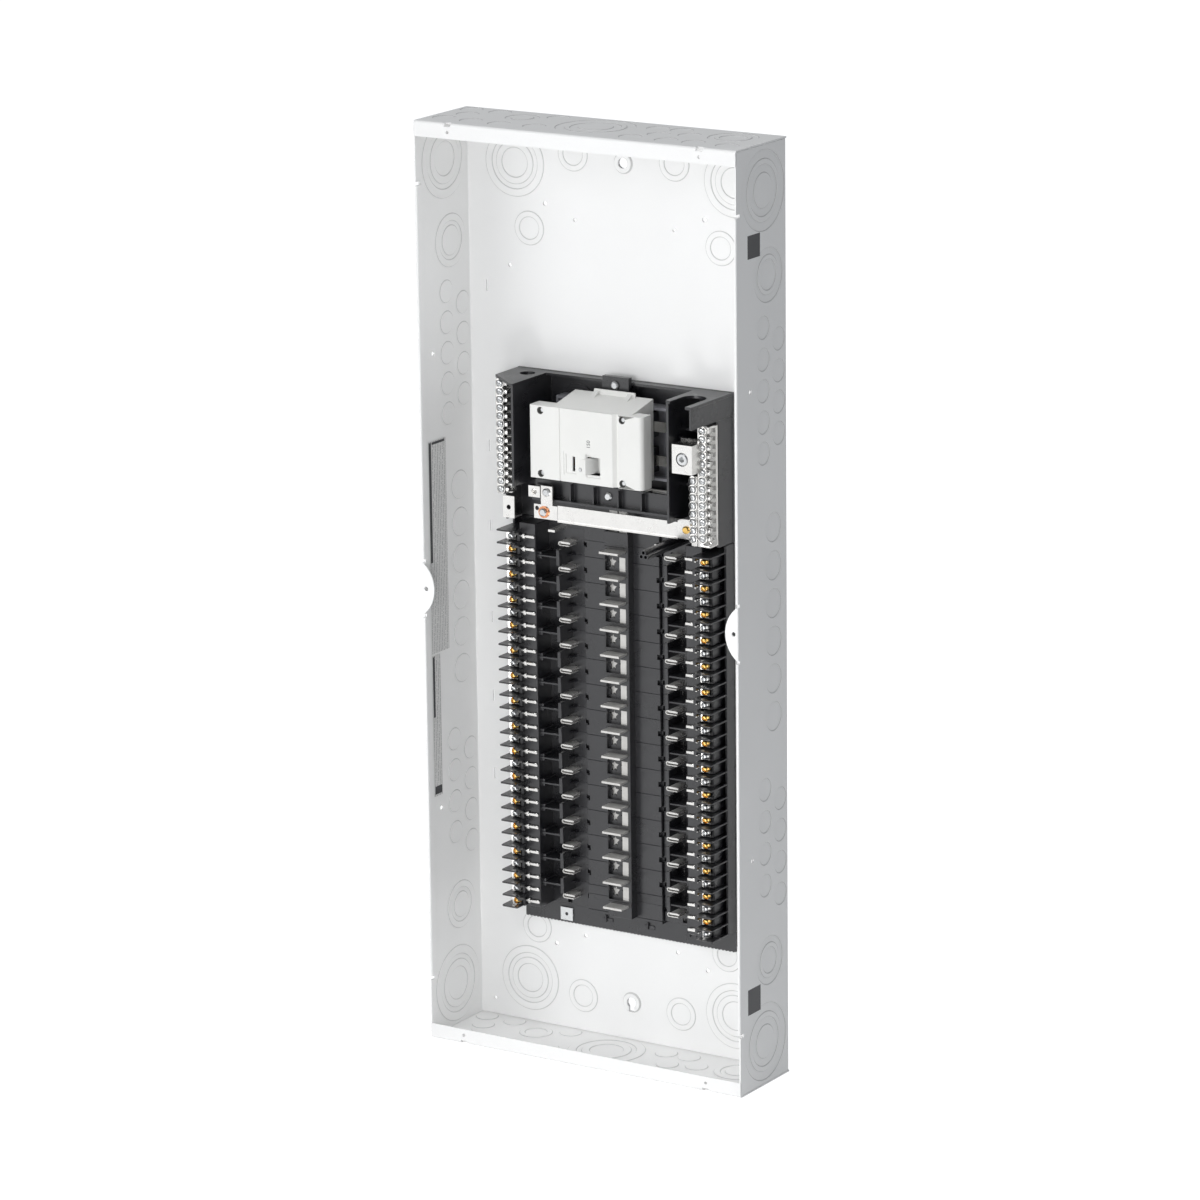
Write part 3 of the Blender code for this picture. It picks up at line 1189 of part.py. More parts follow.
def make_load_end(label, z, floor):
    left = CROSS_BAR_RADIUS + 0.009
    right = CORE_HALF - COVER_WALL - TOUCH
    unit = box_node("trip_unit_" + label, BLACK_PLASTIC, (left, right), (floor, floor + 0.021),
                    (z - 0.012, z + 0.012))
    join(unit, lambda bm: add_box(bm, (left + 0.008, left + 0.010), (floor + 0.020, floor + 0.034),
                                  (z - 0.004, z + 0.004)))
    bar_back = BUS_A_BACK if label == "lower" else BUS_B_BACK
    strap_back = bar_back + BAR_THICKNESS + TOUCH
    riser = riser_edges()[0 if label == "lower" else 1]
    box_node("load_terminal_" + label, TINNED, (right + TOUCH, riser + RISER_WIDTH),
             (strap_back, strap_back + LOAD_STRAP), (z - LOAD_STRAP_HALF, z + LOAD_STRAP_HALF))


# ---------------------------------------------------------------- printed films
def make_labels():
    x = BOX_WIDTH / 2 - SHEET - TOUCH
    for label, front, z in (("upper", LABEL_UPPER_FRONT, LABEL_UPPER_Z),
                            ("lower", LABEL_LOWER_FRONT, LABEL_LOWER_Z)):
        box_node("wiring_label_" + label, PAPER, (-x, LABEL_THICKNESS - x), front, z)


clear_scene()
parts = new_collection("subpanel_enclosure")
tools = new_collection("helper_shapes")
make_wrap()
make_end_wall("top_end_wall", 1)
make_end_wall("bottom_end_wall", -1)
make_bus_base()
for side_name, side_sign in (("left", -1), ("right", 1)):
    start_slot = 0
    for rail_name, slots_here in zip(("upper", "middle", "lower"), MODULE_SLOTS):
        make_rail(side_name + "_terminal_rail_" + rail_name, side_sign, start_slot, slots_here)
        start_slot += slots_here
    make_neutral_strip("neutral_strip_" + side_name, side_sign)
make_bottom_flange()
make_housing()
make_housing_screws()
make_cover_support()
make_bus_bars()
make_neutral_parts()
make_straps()
make_breaker_case()
make_breaker_cover()
make_breaker_controls()
make_breaker_mechanism()
make_labels()
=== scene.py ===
"""Looks of an indoor load centre: painted wall box, moulded interior, bars and main breaker."""
import json
import math

import bmesh
import bpy
from mathutils import Matrix, Quaternion, Vector

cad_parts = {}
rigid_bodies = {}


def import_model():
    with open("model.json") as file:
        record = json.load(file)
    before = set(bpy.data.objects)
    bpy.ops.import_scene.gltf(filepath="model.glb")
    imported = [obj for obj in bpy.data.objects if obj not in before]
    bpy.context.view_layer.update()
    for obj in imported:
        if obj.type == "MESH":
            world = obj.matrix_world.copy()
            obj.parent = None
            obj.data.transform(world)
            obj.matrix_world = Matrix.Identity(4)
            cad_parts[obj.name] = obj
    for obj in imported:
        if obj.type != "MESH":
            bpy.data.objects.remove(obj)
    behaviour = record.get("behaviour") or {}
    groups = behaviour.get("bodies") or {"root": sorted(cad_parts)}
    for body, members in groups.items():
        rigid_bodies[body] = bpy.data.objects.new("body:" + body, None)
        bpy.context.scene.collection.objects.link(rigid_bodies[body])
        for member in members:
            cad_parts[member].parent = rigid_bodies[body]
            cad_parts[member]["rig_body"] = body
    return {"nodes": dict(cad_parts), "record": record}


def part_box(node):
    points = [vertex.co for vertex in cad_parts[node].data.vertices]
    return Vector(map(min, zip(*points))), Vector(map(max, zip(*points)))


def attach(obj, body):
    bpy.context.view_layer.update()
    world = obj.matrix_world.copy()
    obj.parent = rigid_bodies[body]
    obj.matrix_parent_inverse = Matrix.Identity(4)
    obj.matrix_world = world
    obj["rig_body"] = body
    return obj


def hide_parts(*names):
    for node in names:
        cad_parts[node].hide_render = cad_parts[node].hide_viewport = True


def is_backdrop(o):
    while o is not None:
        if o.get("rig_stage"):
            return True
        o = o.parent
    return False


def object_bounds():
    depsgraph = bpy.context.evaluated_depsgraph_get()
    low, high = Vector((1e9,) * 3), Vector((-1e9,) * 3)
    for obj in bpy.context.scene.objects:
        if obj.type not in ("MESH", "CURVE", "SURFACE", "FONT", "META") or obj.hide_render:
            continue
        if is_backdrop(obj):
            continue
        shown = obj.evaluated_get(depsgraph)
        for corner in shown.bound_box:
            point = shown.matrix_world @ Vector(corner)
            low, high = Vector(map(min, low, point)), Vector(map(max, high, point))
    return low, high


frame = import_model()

cad_low, cad_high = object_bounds()

# ---------------------------------------------------------------- studio
# A pale floor under the box, one large soft key lamp in front on the left, a weaker fill,
# and a camera in front on the right, a little above, with a long lens.
CAMERA_AZIMUTH = math.radians(32.436)
CAMERA_ELEVATION = math.radians(14.446)
CAMERA_ROLL = math.radians(-0.676)
CAMERA_PLACE = Vector((2.7967, -4.4524, 1.3453))
LENS = 169.04
SENSOR = 36.0
FLOOR_SIZE = 60.0
FLOOR_GAP = 0.0004
SKY_SEEN = 1.0
SKY_LIGHT = 0.37
SKY_SHINE = 0.16          # what shiny surfaces see of the sky
LAMPS = (("key_lamp", Vector((-2.4, -3.3, 1.3)), 3.0, 54.0, (0.0, 0.0, 0.0)),
         ("fill_lamp", Vector((1.0, -4.6, 0.7)), 1.8, 15.0, (0.0, 0.0, 0.0)),
         ("top_lamp", Vector((0.2, -0.6, 3.4)), 1.4, 30.0, (0.0, 0.0, 0.0)),
         ("box_lamp_high", Vector((0.165, -0.72, 0.26)), 0.28, 1.35, (-0.17, -0.05, 0.26)),
         ("box_lamp_low", Vector((0.165, -0.72, -0.26)), 0.28, 1.35, (-0.17, -0.05, -0.26)))
FLOOR_GLOW = 0.75         # added where the camera sees the floor
FLOOR_SHINE = 0.5         # the share of that glow that a shiny surface sees


def add_node(tree, kind, values=None, **settings):
    """New node of a tree, with its settings and the values of its unlinked inputs."""
    made = tree.nodes.new(kind)
    for name, setting in settings.items():
        setattr(made, name, setting)
    for socket, value in (values or {}).items():
        made.inputs[socket].default_value = value
    return made


def join(tree, *links):
    """Link nodes, each link given as node, output, node, input."""
    for source, output, target, entry in links:
        tree.links.new(source.outputs[output], target.inputs[entry])


def aim(thing, place, forward, roll=0.0):
    turn = forward.to_track_quat('-Z', 'Y') @ Quaternion((0, 0, 1), roll)
    thing.matrix_world = Matrix.Translation(place) @ turn.to_matrix().to_4x4()
    bpy.context.scene.collection.objects.link(thing)


lens = bpy.data.cameras.new("studio_camera")
lens.lens = LENS
lens.sensor_width = SENSOR
camera = bpy.data.objects.new("studio_camera", lens)
aim(camera, CAMERA_PLACE,
    Vector((-math.sin(CAMERA_AZIMUTH) * math.cos(CAMERA_ELEVATION),
            math.cos(CAMERA_AZIMUTH) * math.cos(CAMERA_ELEVATION),
            -math.sin(CAMERA_ELEVATION))), CAMERA_ROLL)
bpy.context.scene.camera = camera
bpy.context.scene.view_settings.view_transform = 'Standard'

for lamp_name, lamp_place, lamp_size, lamp_power, lit_place in LAMPS:
    lamp = bpy.data.lights.new(lamp_name, 'AREA')
    lamp.shape = 'DISK'
    lamp.size = lamp_size
    lamp.energy = lamp_power
    holder = bpy.data.objects.new(lamp_name, lamp)
    holder.visible_camera = False
    aim(holder, lamp_place, Vector(lit_place) - lamp_place)

world = bpy.data.worlds.new("studio_air")
world.use_nodes = True
bpy.context.scene.world = world
air = world.node_tree
seen = air.nodes["Background"]
seen.inputs["Strength"].default_value = SKY_SEEN
seen.inputs["Color"].default_value = (1.0, 1.0, 1.0, 1.0)
lighting = add_node(air, 'ShaderNodeBackground', {"Color": (0.93, 0.96, 1.0, 1.0)})
dim = add_node(air, 'ShaderNodeMapRange', {"To Min": SKY_LIGHT, "To Max": SKY_SHINE})
either = add_node(air, 'ShaderNodeMixShader')
path = add_node(air, 'ShaderNodeLightPath')
join(air, (path, "Is Camera Ray", either, "Fac"), (path, "Is Glossy Ray", dim, "Value"),
     (dim, "Result", lighting, "Strength"), (lighting, "Background", either, 1),
     (seen, "Background", either, 2), (either, "Shader", air.nodes["World Output"], "Surface"))

floor_mesh = bpy.data.meshes.new("studio_floor")
floor = bpy.data.objects.new("studio_floor", floor_mesh)
bpy.context.scene.collection.objects.link(floor)
floor_build = bmesh.new()
bmesh.ops.create_grid(floor_build, x_segments=1, y_segments=1, size=FLOOR_SIZE / 2,
                      matrix=Matrix.Translation((0, 0, cad_low.z - FLOOR_GAP)))
floor_build.to_mesh(floor_mesh)
floor_build.free()
floor_paint = bpy.data.materials.new("studio_floor")
floor_paint.use_nodes = True
floor_tree = floor_paint.node_tree
floor_shader = floor_tree.nodes["Principled BSDF"]
floor_shader.inputs["Base Color"].default_value = (0.9, 0.9, 0.9, 1.0)
floor_shader.inputs["Roughness"].default_value = 0.9
floor_shader.inputs["Specular IOR Level"].default_value = 0.1
floor_shader.inputs["Emission Color"].default_value = (1.0, 1.0, 1.0, 1.0)
floor_path = add_node(floor_tree, 'ShaderNodeLightPath')
floor_glow = add_node(floor_tree, 'ShaderNodeMath', {1: FLOOR_GLOW}, operation='MULTIPLY')
floor_seen = add_node(floor_tree, 'ShaderNodeMath', operation='MAXIMUM')
floor_shine = add_node(floor_tree, 'ShaderNodeMath', {1: FLOOR_SHINE}, operation='MULTIPLY')
join(floor_tree, (floor_path, "Is Camera Ray", floor_seen, 0),
     (floor_path, "Is Glossy Ray", floor_shine, 0), (floor_shine, 0, floor_seen, 1),
     (floor_seen, 0, floor_glow, 0), (floor_glow, 0, floor_shader, "Emission Strength"))
floor_mesh.materials.append(floor_paint)
floor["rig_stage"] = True


# ---------------------------------------------------------------- painted wall box
# Back and both sides are one bent steel sheet; each end is a second sheet with a front
# lip. All of it is powder coated light grey, and every knockout ring is pressed into it.
SHEET = 0.0015
BEND = 0.0028
BEND_STEPS = 5
HEM_DEPTH = 0.0095
HEM_THICKNESS = 0.0028
HEM_END_Z = 0.394
HEM_NOTCH = 0.0035
HEM_CUT = 0.006            # how far the notches at a hem's end reach in from the side
LIP_HEIGHT = 0.015
LIP_HOLE_X = 0.139
LIP_SLOT_WIDTH = 0.0075
EAR_CHORD = 0.051
EAR_RISE = 0.0125
EAR_HOLE_X = 0.173
SEAM = 0.0004
FINE_SHARE = 0.35         # share of the fine grain in a surface's slow variation
PRESS = 0.0006            # how far a knockout ring is pressed in
SLOPE = 0.0018            # width of the sheared edge round it
BEND_REACH = 0.004        # no sheared edge lies nearer than this to a bend
FRONT_REACH = 0.0045      # nor this near the front edges
SLOPED_NORMAL = 0.93      # largest part of the normal of a face that leans
BOX_HALF = cad_high.x
BOX_DEPTH = -cad_low.y
BOX_TOP = cad_high.z


def at(x, front, z):
    """Place given by its distance in front of the wall."""
    return Vector((x, -front, z))


def grain_group():
    """Fine grain of a surface: two colours, a roughness range and a height that vary slowly."""
    group = bpy.data.node_groups.new("surface_grain", 'ShaderNodeTree')
    for label, kind in (("Colour", 'NodeSocketColor'), ("Second Colour", 'NodeSocketColor'),
                        ("Scale", 'NodeSocketFloat'), ("Stretch", 'NodeSocketVector'),
                        ("Patch Scale", 'NodeSocketFloat'), ("Roughness Low", 'NodeSocketFloat'),
                        ("Roughness High", 'NodeSocketFloat')):
        group.interface.new_socket(label, in_out='INPUT', socket_type=kind)
    group.interface.new_socket("Colour", in_out='OUTPUT', socket_type='NodeSocketColor')
    group.interface.new_socket("Roughness", in_out='OUTPUT', socket_type='NodeSocketFloat')
    group.interface.new_socket("Height", in_out='OUTPUT', socket_type='NodeSocketFloat')
    given = add_node(group, 'NodeGroupInput')
    result = add_node(group, 'NodeGroupOutput')
    place = add_node(group, 'ShaderNodeTexCoord')
    stretched = add_node(group, 'ShaderNodeVectorMath', operation='MULTIPLY')
    fine = add_node(group, 'ShaderNodeTexNoise', {"Detail": 3.0})
    patch = add_node(group, 'ShaderNodeTexNoise', {"Detail": 4.0})
    both = add_node(group, 'ShaderNodeMath', {1: FINE_SHARE}, operation='MULTIPLY_ADD')
    softer = add_node(group, 'ShaderNodeMath', {1: 1.0 - FINE_SHARE}, operation='MULTIPLY')
    spread = add_node(group, 'ShaderNodeMapRange', {"From Min": 0.3, "From Max": 0.7})
    colour = add_node(group, 'ShaderNodeMix', data_type='RGBA')
    rough = add_node(group, 'ShaderNodeMapRange')
    join(group, (place, "Object", stretched, 0), (given, "Stretch", stretched, 1),
         (stretched, 0, fine, "Vector"), (given, "Scale", fine, "Scale"),
         (place, "Object", patch, "Vector"), (given, "Patch Scale", patch, "Scale"),
         (fine, "Fac", both, 0), (patch, "Fac", softer, 0), (softer, 0, both, 2),
         (both, 0, spread, "Value"), (spread, "Result", colour, "Factor"),
         (given, "Colour", colour, "A"), (given, "Second Colour", colour, "B"),
         (spread, "Result", rough, "Value"), (given, "Roughness Low", rough, "To Min"),
         (given, "Roughness High", rough, "To Max"), (rough, "Result", result, "Roughness"),
         (fine, "Fac", result, "Height"))
    group.links.new(next(socket for socket in colour.outputs if socket.type == 'RGBA'),
                    result.inputs["Colour"])
    return group


surface_grain = grain_group()


def make_finish(name, colour, second, rough, scale, bump, metallic=0.0,
                stretch=(1.0, 1.0, 1.0), patch=25.0, specular=0.5):
    """Material whose colour, roughness and relief come from the shared grain."""
    made = bpy.data.materials.new(name)
    made.use_nodes = True
    tree = made.node_tree
    shader = tree.nodes["Principled BSDF"]
    grain = tree.nodes.new('ShaderNodeGroup')
    grain.node_tree = surface_grain
    for label, value in (("Colour", (*colour, 1.0)), ("Second Colour", (*second, 1.0)),
                         ("Scale", scale), ("Stretch", stretch), ("Patch Scale", patch),
                         ("Roughness Low", rough[0]), ("Roughness High", rough[1])):
        grain.inputs[label].default_value = value
    relief = add_node(tree, 'ShaderNodeBump', {"Strength": 1.0, "Distance": bump})
    join(tree, (grain, "Height", relief, "Height"), (grain, "Colour", shader, "Base Color"),
         (grain, "Roughness", shader, "Roughness"), (relief, "Normal", shader, "Normal"))
    shader.inputs["Metallic"].default_value = metallic
    shader.inputs["Specular IOR Level"].default_value = specular
    return made


powder_coat = make_finish("powder_coat", (0.86, 0.86, 0.855), (0.83, 0.83, 0.825),
                          (0.34, 0.46), 700.0, 0.00002, patch=9.0)


def mix_in(made, factor, colour, blend='MIX'):
    """Mix one colour into a material's own, by a factor from its tree."""
    tree = made.node_tree
    base = tree.nodes["Principled BSDF"].inputs["Base Color"]
    mixed = add_node(tree, 'ShaderNodeMix', data_type='RGBA', blend_type=blend)
    flat, second = [socket for socket in mixed.inputs if socket.type == 'RGBA']
    second.default_value = (*colour, 1.0)
    tree.links.new(factor, mixed.inputs["Factor"])
    tree.links.new(base.links[0].from_socket, flat)
    tree.links.new(next(socket for socket in mixed.outputs if socket.type == 'RGBA'), base)


# Painted shade: the sloped rings of the knockouts are darkened in colour, standing in for the shade in
# their pressed creases.
PRESS_SHADE_TINT = (0.70, 0.70, 0.70)
press_shade_mark = add_node(powder_coat.node_tree, 'ShaderNodeAttribute', attribute_name="press_shade")
mix_in(powder_coat, press_shade_mark.outputs["Fac"], PRESS_SHADE_TINT, 'MULTIPLY')


def mark_press_shade(made):
    """Painted-shade mask: one on the sloped rings of the knockouts, away from the bends and the front
    edges.
    """
    marks = made.data.attributes.new("press_shade", 'FLOAT', 'FACE')
    for face, mark in zip(made.data.polygons, marks.data):
        front = -face.center.y
        bend = front < BEND_REACH and abs(face.center.x) > BOX_HALF - BEND_REACH
        sloped = max(abs(part) for part in face.normal) < SLOPED_NORMAL
        if sloped and not bend and front < BOX_DEPTH - FRONT_REACH:
            mark.value = 1.0


def block(bm, x, front, z, edge=0.0003):
    """Box between two values of x, of distance in front of the wall, and of z, edges eased."""
    low = Vector((min(x), -max(front), min(z)))
    high = Vector((max(x), -min(front), max(z)))
    place = Matrix.Translation((low + high) / 2) @ Matrix.Diagonal((*(high - low), 1.0))
    made = bmesh.ops.create_cube(bm, size=1.0, matrix=place)
    if edge:
        rim = list({line for vert in made["verts"] for line in vert.link_edges})
        bmesh.ops.bevel(bm, geom=rim, offset=edge, segments=1, affect='EDGES', profile=0.5)


def turned(bm, profile, base, axis, sides=24):
    """Turned shape from (radius, height) pairs along an axis that starts at base."""
    before = set(bm.verts)
    turn = Vector(axis).to_track_quat('Z', 'Y').to_matrix().to_4x4()
    place = Matrix.Translation(base) @ turn
    knots = [bm.verts.new(place @ Vector((radius, 0.0, height))) for radius, height in profile]
    lines = [bm.edges.new(pair) for pair in zip(knots, knots[1:])]
    bmesh.ops.spin(bm, geom=knots + lines, cent=base, axis=Vector(axis).normalized(),
                   angle=math.tau, steps=sides)
    fresh = [vert for vert in bm.verts if vert not in before]
    bmesh.ops.remove_doubles(bm, verts=fresh, dist=0.000002)


def prism(bm, points, low, high, axis):
    """Solid with a flat outline: (x, front) along z, (front, z) along x or (x, z) to the front."""
    places = {'X': lambda u, v, w: at(w, u, v), 'Z': lambda u, v, w: at(u, v, w),
              'FRONT': lambda u, v, w: at(u, w, v)}[axis]
    base = [bm.verts.new(places(u, v, low)) for u, v in points]
    face = bm.faces.new(base)
    grown = bmesh.ops.extrude_face_region(bm, geom=[face])
    top = [item for item in grown["geom"] if isinstance(item, bmesh.types.BMVert)]
    shift = places(0.0, 0.0, high) - places(0.0, 0.0, low)
    bmesh.ops.translate(bm, verts=top, vec=shift)


def arc(centre, radius, start, end, steps):
    """Points on an arc, angles in degrees."""
    angles = [math.radians(start + (end - start) * step / steps) for step in range(steps + 1)]
    return [(centre[0] + radius * math.cos(angle), centre[1] + radius * math.sin(angle))
            for angle in angles]


def make_object(name, bm, material, smooth=38.0):
    """Object of a finished bmesh, faces out, shaded smooth except at sharp edges."""
    bmesh.ops.recalc_face_normals(bm, faces=bm.faces)
    mesh = bpy.data.meshes.new(name)
    bm.to_mesh(mesh)
    bm.free()
    mesh.materials.append(material)
    made = bpy.data.objects.new(name, mesh)
    bpy.context.scene.collection.objects.link(made)
    shade(made, smooth)
    return made


def shade(made, smooth=38.0):
    made.data.shade_smooth()
    made.data.set_sharp_from_angle(angle=math.radians(smooth))


def bake_modifiers(made):
    """Replace the object's mesh by its evaluated one."""
    bpy.context.view_layer.update()
    evaluated = made.evaluated_get(bpy.context.evaluated_depsgraph_get())
    mesh = bpy.data.meshes.new_from_object(evaluated)
    mesh.name = made.name
    made.modifiers.clear()
    made.data = mesh
    return made


def level_faces(made):
    """Normals that keep wide faces flat beside their eased edges."""
    made.modifiers.new("level", 'WEIGHTED_NORMAL').keep_sharp = True
    bake_modifiers(made)


def carve(made, build, operation='DIFFERENCE'):
    """Cut a built shape from the object, or join it on."""
    bm = bmesh.new()
    build(bm)
    cutter = make_object("cutter", bm, made.data.materials[0])
    step = made.modifiers.new("carve", 'BOOLEAN')
    step.operation = operation
    step.solver = 'EXACT'
    step.object = cutter
    bake_modifiers(made)
    bpy.data.objects.remove(cutter, do_unlink=True)


def place_piece(made, body="enclosure", stands_for=()):
    """Hand the finished piece to its body."""
    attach(made, body)
    if stands_for:
        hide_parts(*stands_for)
    return made


# Knockouts, by the radii of their pressed edges from outside in.
SINGLE = (0.0136,)
SMALL = (0.0106,)
DOUBLE = (0.0160, 0.0115)
TRIPLE = (0.0255, 0.0195, 0.0142)
TRIPLE_SMALL = (0.0235, 0.0180, 0.0125)
BIG = (0.0378, 0.0300, 0.0240, 0.0172)
BACK_BIG = (0.0325, 0.0262, 0.0205, 0.0150)

BACK_KNOCKOUTS = (
    (-0.1225, 0.4075, BACK_BIG), (0.1225, 0.4085, BACK_BIG),
    (-0.0565, 0.4210, DOUBLE), (0.0565, 0.4210, DOUBLE),
    (-0.1070, 0.3450, DOUBLE), (0.1070, 0.3450, DOUBLE),
    (-0.1185, -0.4110, BACK_BIG), (0.1185, -0.4110, BACK_BIG),
    (-0.0565, -0.4195, DOUBLE), (0.0565, -0.4195, DOUBLE),
    (-0.1095, -0.3560, DOUBLE), (0.1095, -0.3506, DOUBLE))
SIDE_KNOCKOUTS = (
    (0.0425, 0.4130, BIG), (0.0345, 0.3325, TRIPLE),
    (0.0365, -0.3340, TRIPLE_SMALL), (0.0450, -0.4135, BIG))
SIDE_SINGLE_FRONT = 0.0265
SIDE_SINGLE_Z = (0.090, 0.0530, 0.0162, -0.0205, -0.0573, -0.0944)
SIDE_PAIR_FRONTS = (0.0435, 0.0155)
SIDE_UPPER_PAIRS = (0.2839, 0.2536, 0.2237, 0.1937, 0.1641)
SIDE_LOWER_PAIRS = (-0.1629, -0.1944, -0.2261, -0.2578)
PAIR_STEP = 0.0152
END_KNOCKOUTS = (
    (-0.0054, 0.0410, BIG), (0.1384, 0.0300, TRIPLE_SMALL), (-0.0945, 0.0300, DOUBLE),
    (-0.1610, 0.0640, SMALL), (-0.1520, 0.0370, SMALL), (-0.1290, 0.0660, SMALL),
    (-0.1300, 0.0140, SMALL), (-0.0960, 0.0680, SMALL), (-0.0640, 0.0140, SMALL),
    (-0.0590, 0.0640, SMALL), (0.0510, 0.0700, SMALL), (0.0680, 0.0470, SMALL),
    (0.0505, 0.0200, SMALL), (0.0760, 0.0190, SMALL), (0.0960, 0.0380, SMALL),
    (0.0900, 0.0700, SMALL), (0.1190, 0.0690, SMALL), (0.1560, 0.0700, SMALL),
    (-0.1630, 0.0136, SMALL))


def press_ring(bm, centre, outward, outer, inner, height, sides):
    """One pressed ring, or a disc, standing on a sheet or ready to be cut from it."""
    lift = PRESS
    if inner:
        profile = ((inner - SLOPE, -lift), (inner, height), (outer, height),
                   (outer + SLOPE, -lift), (inner - SLOPE, -lift))
    else:
        profile = ((0.0, height), (outer, height), (outer + SLOPE, -lift), (0.0, -lift))
    turned(bm, profile, centre, outward, sides)


def press_knockout(bm, centre, outward, radii, height):
    """All pressed rings of one knockout; every second ring stays level with the sheet."""
    for step in range(0, len(radii), 2):
        inner = radii[step + 1] if step + 1 < len(radii) else 0.0
        press_ring(bm, centre, outward, radii[step], inner, height,
                   56 if radii[step] > 0.02 else 36)


def side_knockouts():
    """Place (front, z) and radii of every knockout of one side wall."""
    found = list(SIDE_KNOCKOUTS)
    found += [(SIDE_SINGLE_FRONT, z, SINGLE) for z in SIDE_SINGLE_Z]
    for z in SIDE_UPPER_PAIRS:
        found.append((SIDE_PAIR_FRONTS[0], z, SMALL))
    for z in SIDE_UPPER_PAIRS[:-1]:
        found.append((SIDE_PAIR_FRONTS[1], z - PAIR_STEP, SMALL))
    for z in SIDE_LOWER_PAIRS:
        found.append((SIDE_PAIR_FRONTS[0], z, SMALL))
        found.append((SIDE_PAIR_FRONTS[1], z - PAIR_STEP, SMALL))
    return found


def wrap_section():
    """Outline of the bent sheet, (x, front), with rounded outer and inner bends."""
    end = BOX_DEPTH - SHEET / 2
    half = BOX_HALF
    inner = BEND - SHEET
    outside = [(-half, end)] + arc((-half + BEND, BEND), BEND, 180, 270, BEND_STEPS)
    outside += arc((half - BEND, BEND), BEND, 270, 360, BEND_STEPS) + [(half, end)]
    wall = half - SHEET
    inside = [(wall, end)] + arc((half - BEND, BEND), inner, 360, 270, BEND_STEPS)
    inside += arc((-half + BEND, BEND), inner, 270, 180, BEND_STEPS) + [(-wall, end)]
    return outside + inside


def make_wrap():
    end = BOX_TOP - SHEET - SEAM
    bm = bmesh.new()
    prism(bm, wrap_section(), -end, end, 'Z')
    wrap = make_object("back_and_sides", bm, powder_coat)

    def hems(bm):
        round_edge = HEM_THICKNESS / 2
        for side in (-1, 1):
            centre = (side * (BOX_HALF - round_edge), BOX_DEPTH - round_edge)
            reach = round_edge - 0.00002
            back = BOX_DEPTH - HEM_DEPTH
            points = arc(centre, reach, 0, 180, 8) + [(centre[0] - reach, back),
                                                      (centre[0] + reach, back)]
            prism(bm, points, -HEM_END_Z, HEM_END_Z, 'Z')

    carve(wrap, hems, 'UNION')

    def ears(bm):
        radius = (EAR_CHORD ** 2 / 4 + EAR_RISE ** 2) / (2 * EAR_RISE)
        spread = math.degrees(math.asin(EAR_CHORD / 2 / radius))
        for side in (-1, 1):
            centre = side * (BOX_HALF + radius - EAR_RISE - SHEET)
            facing = 180 if side > 0 else 0
            bow = arc((centre, 0.0), radius, facing - spread, facing + spread, 20)
            root = side * (BOX_HALF - HEM_THICKNESS / 2)
            points = [(root, bow[0][1])] + bow + [(root, bow[-1][1])]
            prism(bm, points, BOX_DEPTH - SHEET, BOX_DEPTH - 0.0001, 'FRONT')

    carve(wrap, ears, 'UNION')

    def pads(bm):
        for x, z, radii in BACK_KNOCKOUTS:
            press_knockout(bm, at(x, SHEET, z), (0, -1, 0), radii, PRESS)
        for side in (-1, 1):
            for front, z, radii in side_knockouts():
                press_knockout(bm, at(side * (BOX_HALF - SHEET), front, z), (-side, 0, 0),
                               radii, PRESS)
        for z in (HANGER_Z, -HANGER_Z):
            press_ring(bm, at(0, SHEET, z), (0, -1, 0), HANGER_PAD, 0.0, 0.0016, 32)

    carve(wrap, pads, 'UNION')

    def recesses(bm):
        for x, z, radii in BACK_KNOCKOUTS:
            press_knockout(bm, at(x, 0, z), (0, -1, 0), radii, PRESS)
        for side in (-1, 1):
            for front, z, radii in side_knockouts():
                press_knockout(bm, at(side * BOX_HALF, front, z), (-side, 0, 0), radii, PRESS)

    carve(wrap, recesses)

    def holes(bm):
        for side in (-1, 1):
            for front, low, high in SIDE_PLATES if side > 0 else ():
                block(bm, (BOX_HALF - PLATE_THICKNESS, BOX_HALF + SHEET), front, (low, high), 0)
            drill(bm, at(side * EAR_HOLE_X, BOX_DEPTH, 0), (0, -1, 0), 0.0022)
            for up in (-1, 1):
                drill(bm, at(side * BOX_HALF, SIDE_HOLE_FRONT, up * SIDE_HOLE_Z), (1, 0, 0), 0.0024)
                notch = (up * HEM_END_Z, up * (HEM_END_Z + HEM_NOTCH))
                block(bm, (side * (BOX_HALF - HEM_CUT), side * (BOX_HALF + SHEET)),
                      (BOX_DEPTH - 0.007, BOX_DEPTH + SHEET), notch, 0)
                block(bm, (side * (BOX_HALF - 0.0055), side * (BOX_HALF + SHEET)),
                      (BOX_DEPTH - 0.0035, BOX_DEPTH + SHEET),
                      (up * EAR_CHORD * 0.5, up * (EAR_CHORD * 0.5 + 0.0035)), 0)
                front_edge = up * (BOX_TOP - LIP_HEIGHT - SEAM)
                block(bm, (side * (BOX_HALF - HEM_CUT), side * (BOX_HALF + SHEET)),
                      (BOX_DEPTH - SHEET - SEAM, BOX_DEPTH + SHEET), (front_edge, up * BOX_TOP), 0)
        for x, z, radius in BACK_HOLES:
            drill(bm, at(x, 0, z), (0, -1, 0), radius)
        for side in (-1, 1):
            for z in LANCE_Z:
                block(bm, (side * LANCE_X - 0.0006, side * LANCE_X + 0.0006),
                      (-SHEET, SHEET * 3), (z - 0.0055, z + 0.0055), 0)

    carve(wrap, holes)
    carve(wrap, lambda bm: block(bm, (-0.003, 0.003), (-SHEET, 0.006),
                                 (-HANGER_Z - 0.009, -HANGER_Z), 0))
    shade(wrap, 25.0)
    # painted shade on the sloped knockout rings of the wrap
    mark_press_shade(wrap)
    return place_piece(wrap, stands_for=["back_and_side_wrap"])


def drill(bm, place, axis, radius):
    """Straight hole through a sheet, ready to be cut."""
    reach = 0.008
    turned(bm, ((0.0, reach), (radius, reach), (radius, -reach), (0.0, -reach)), place, axis, 20)


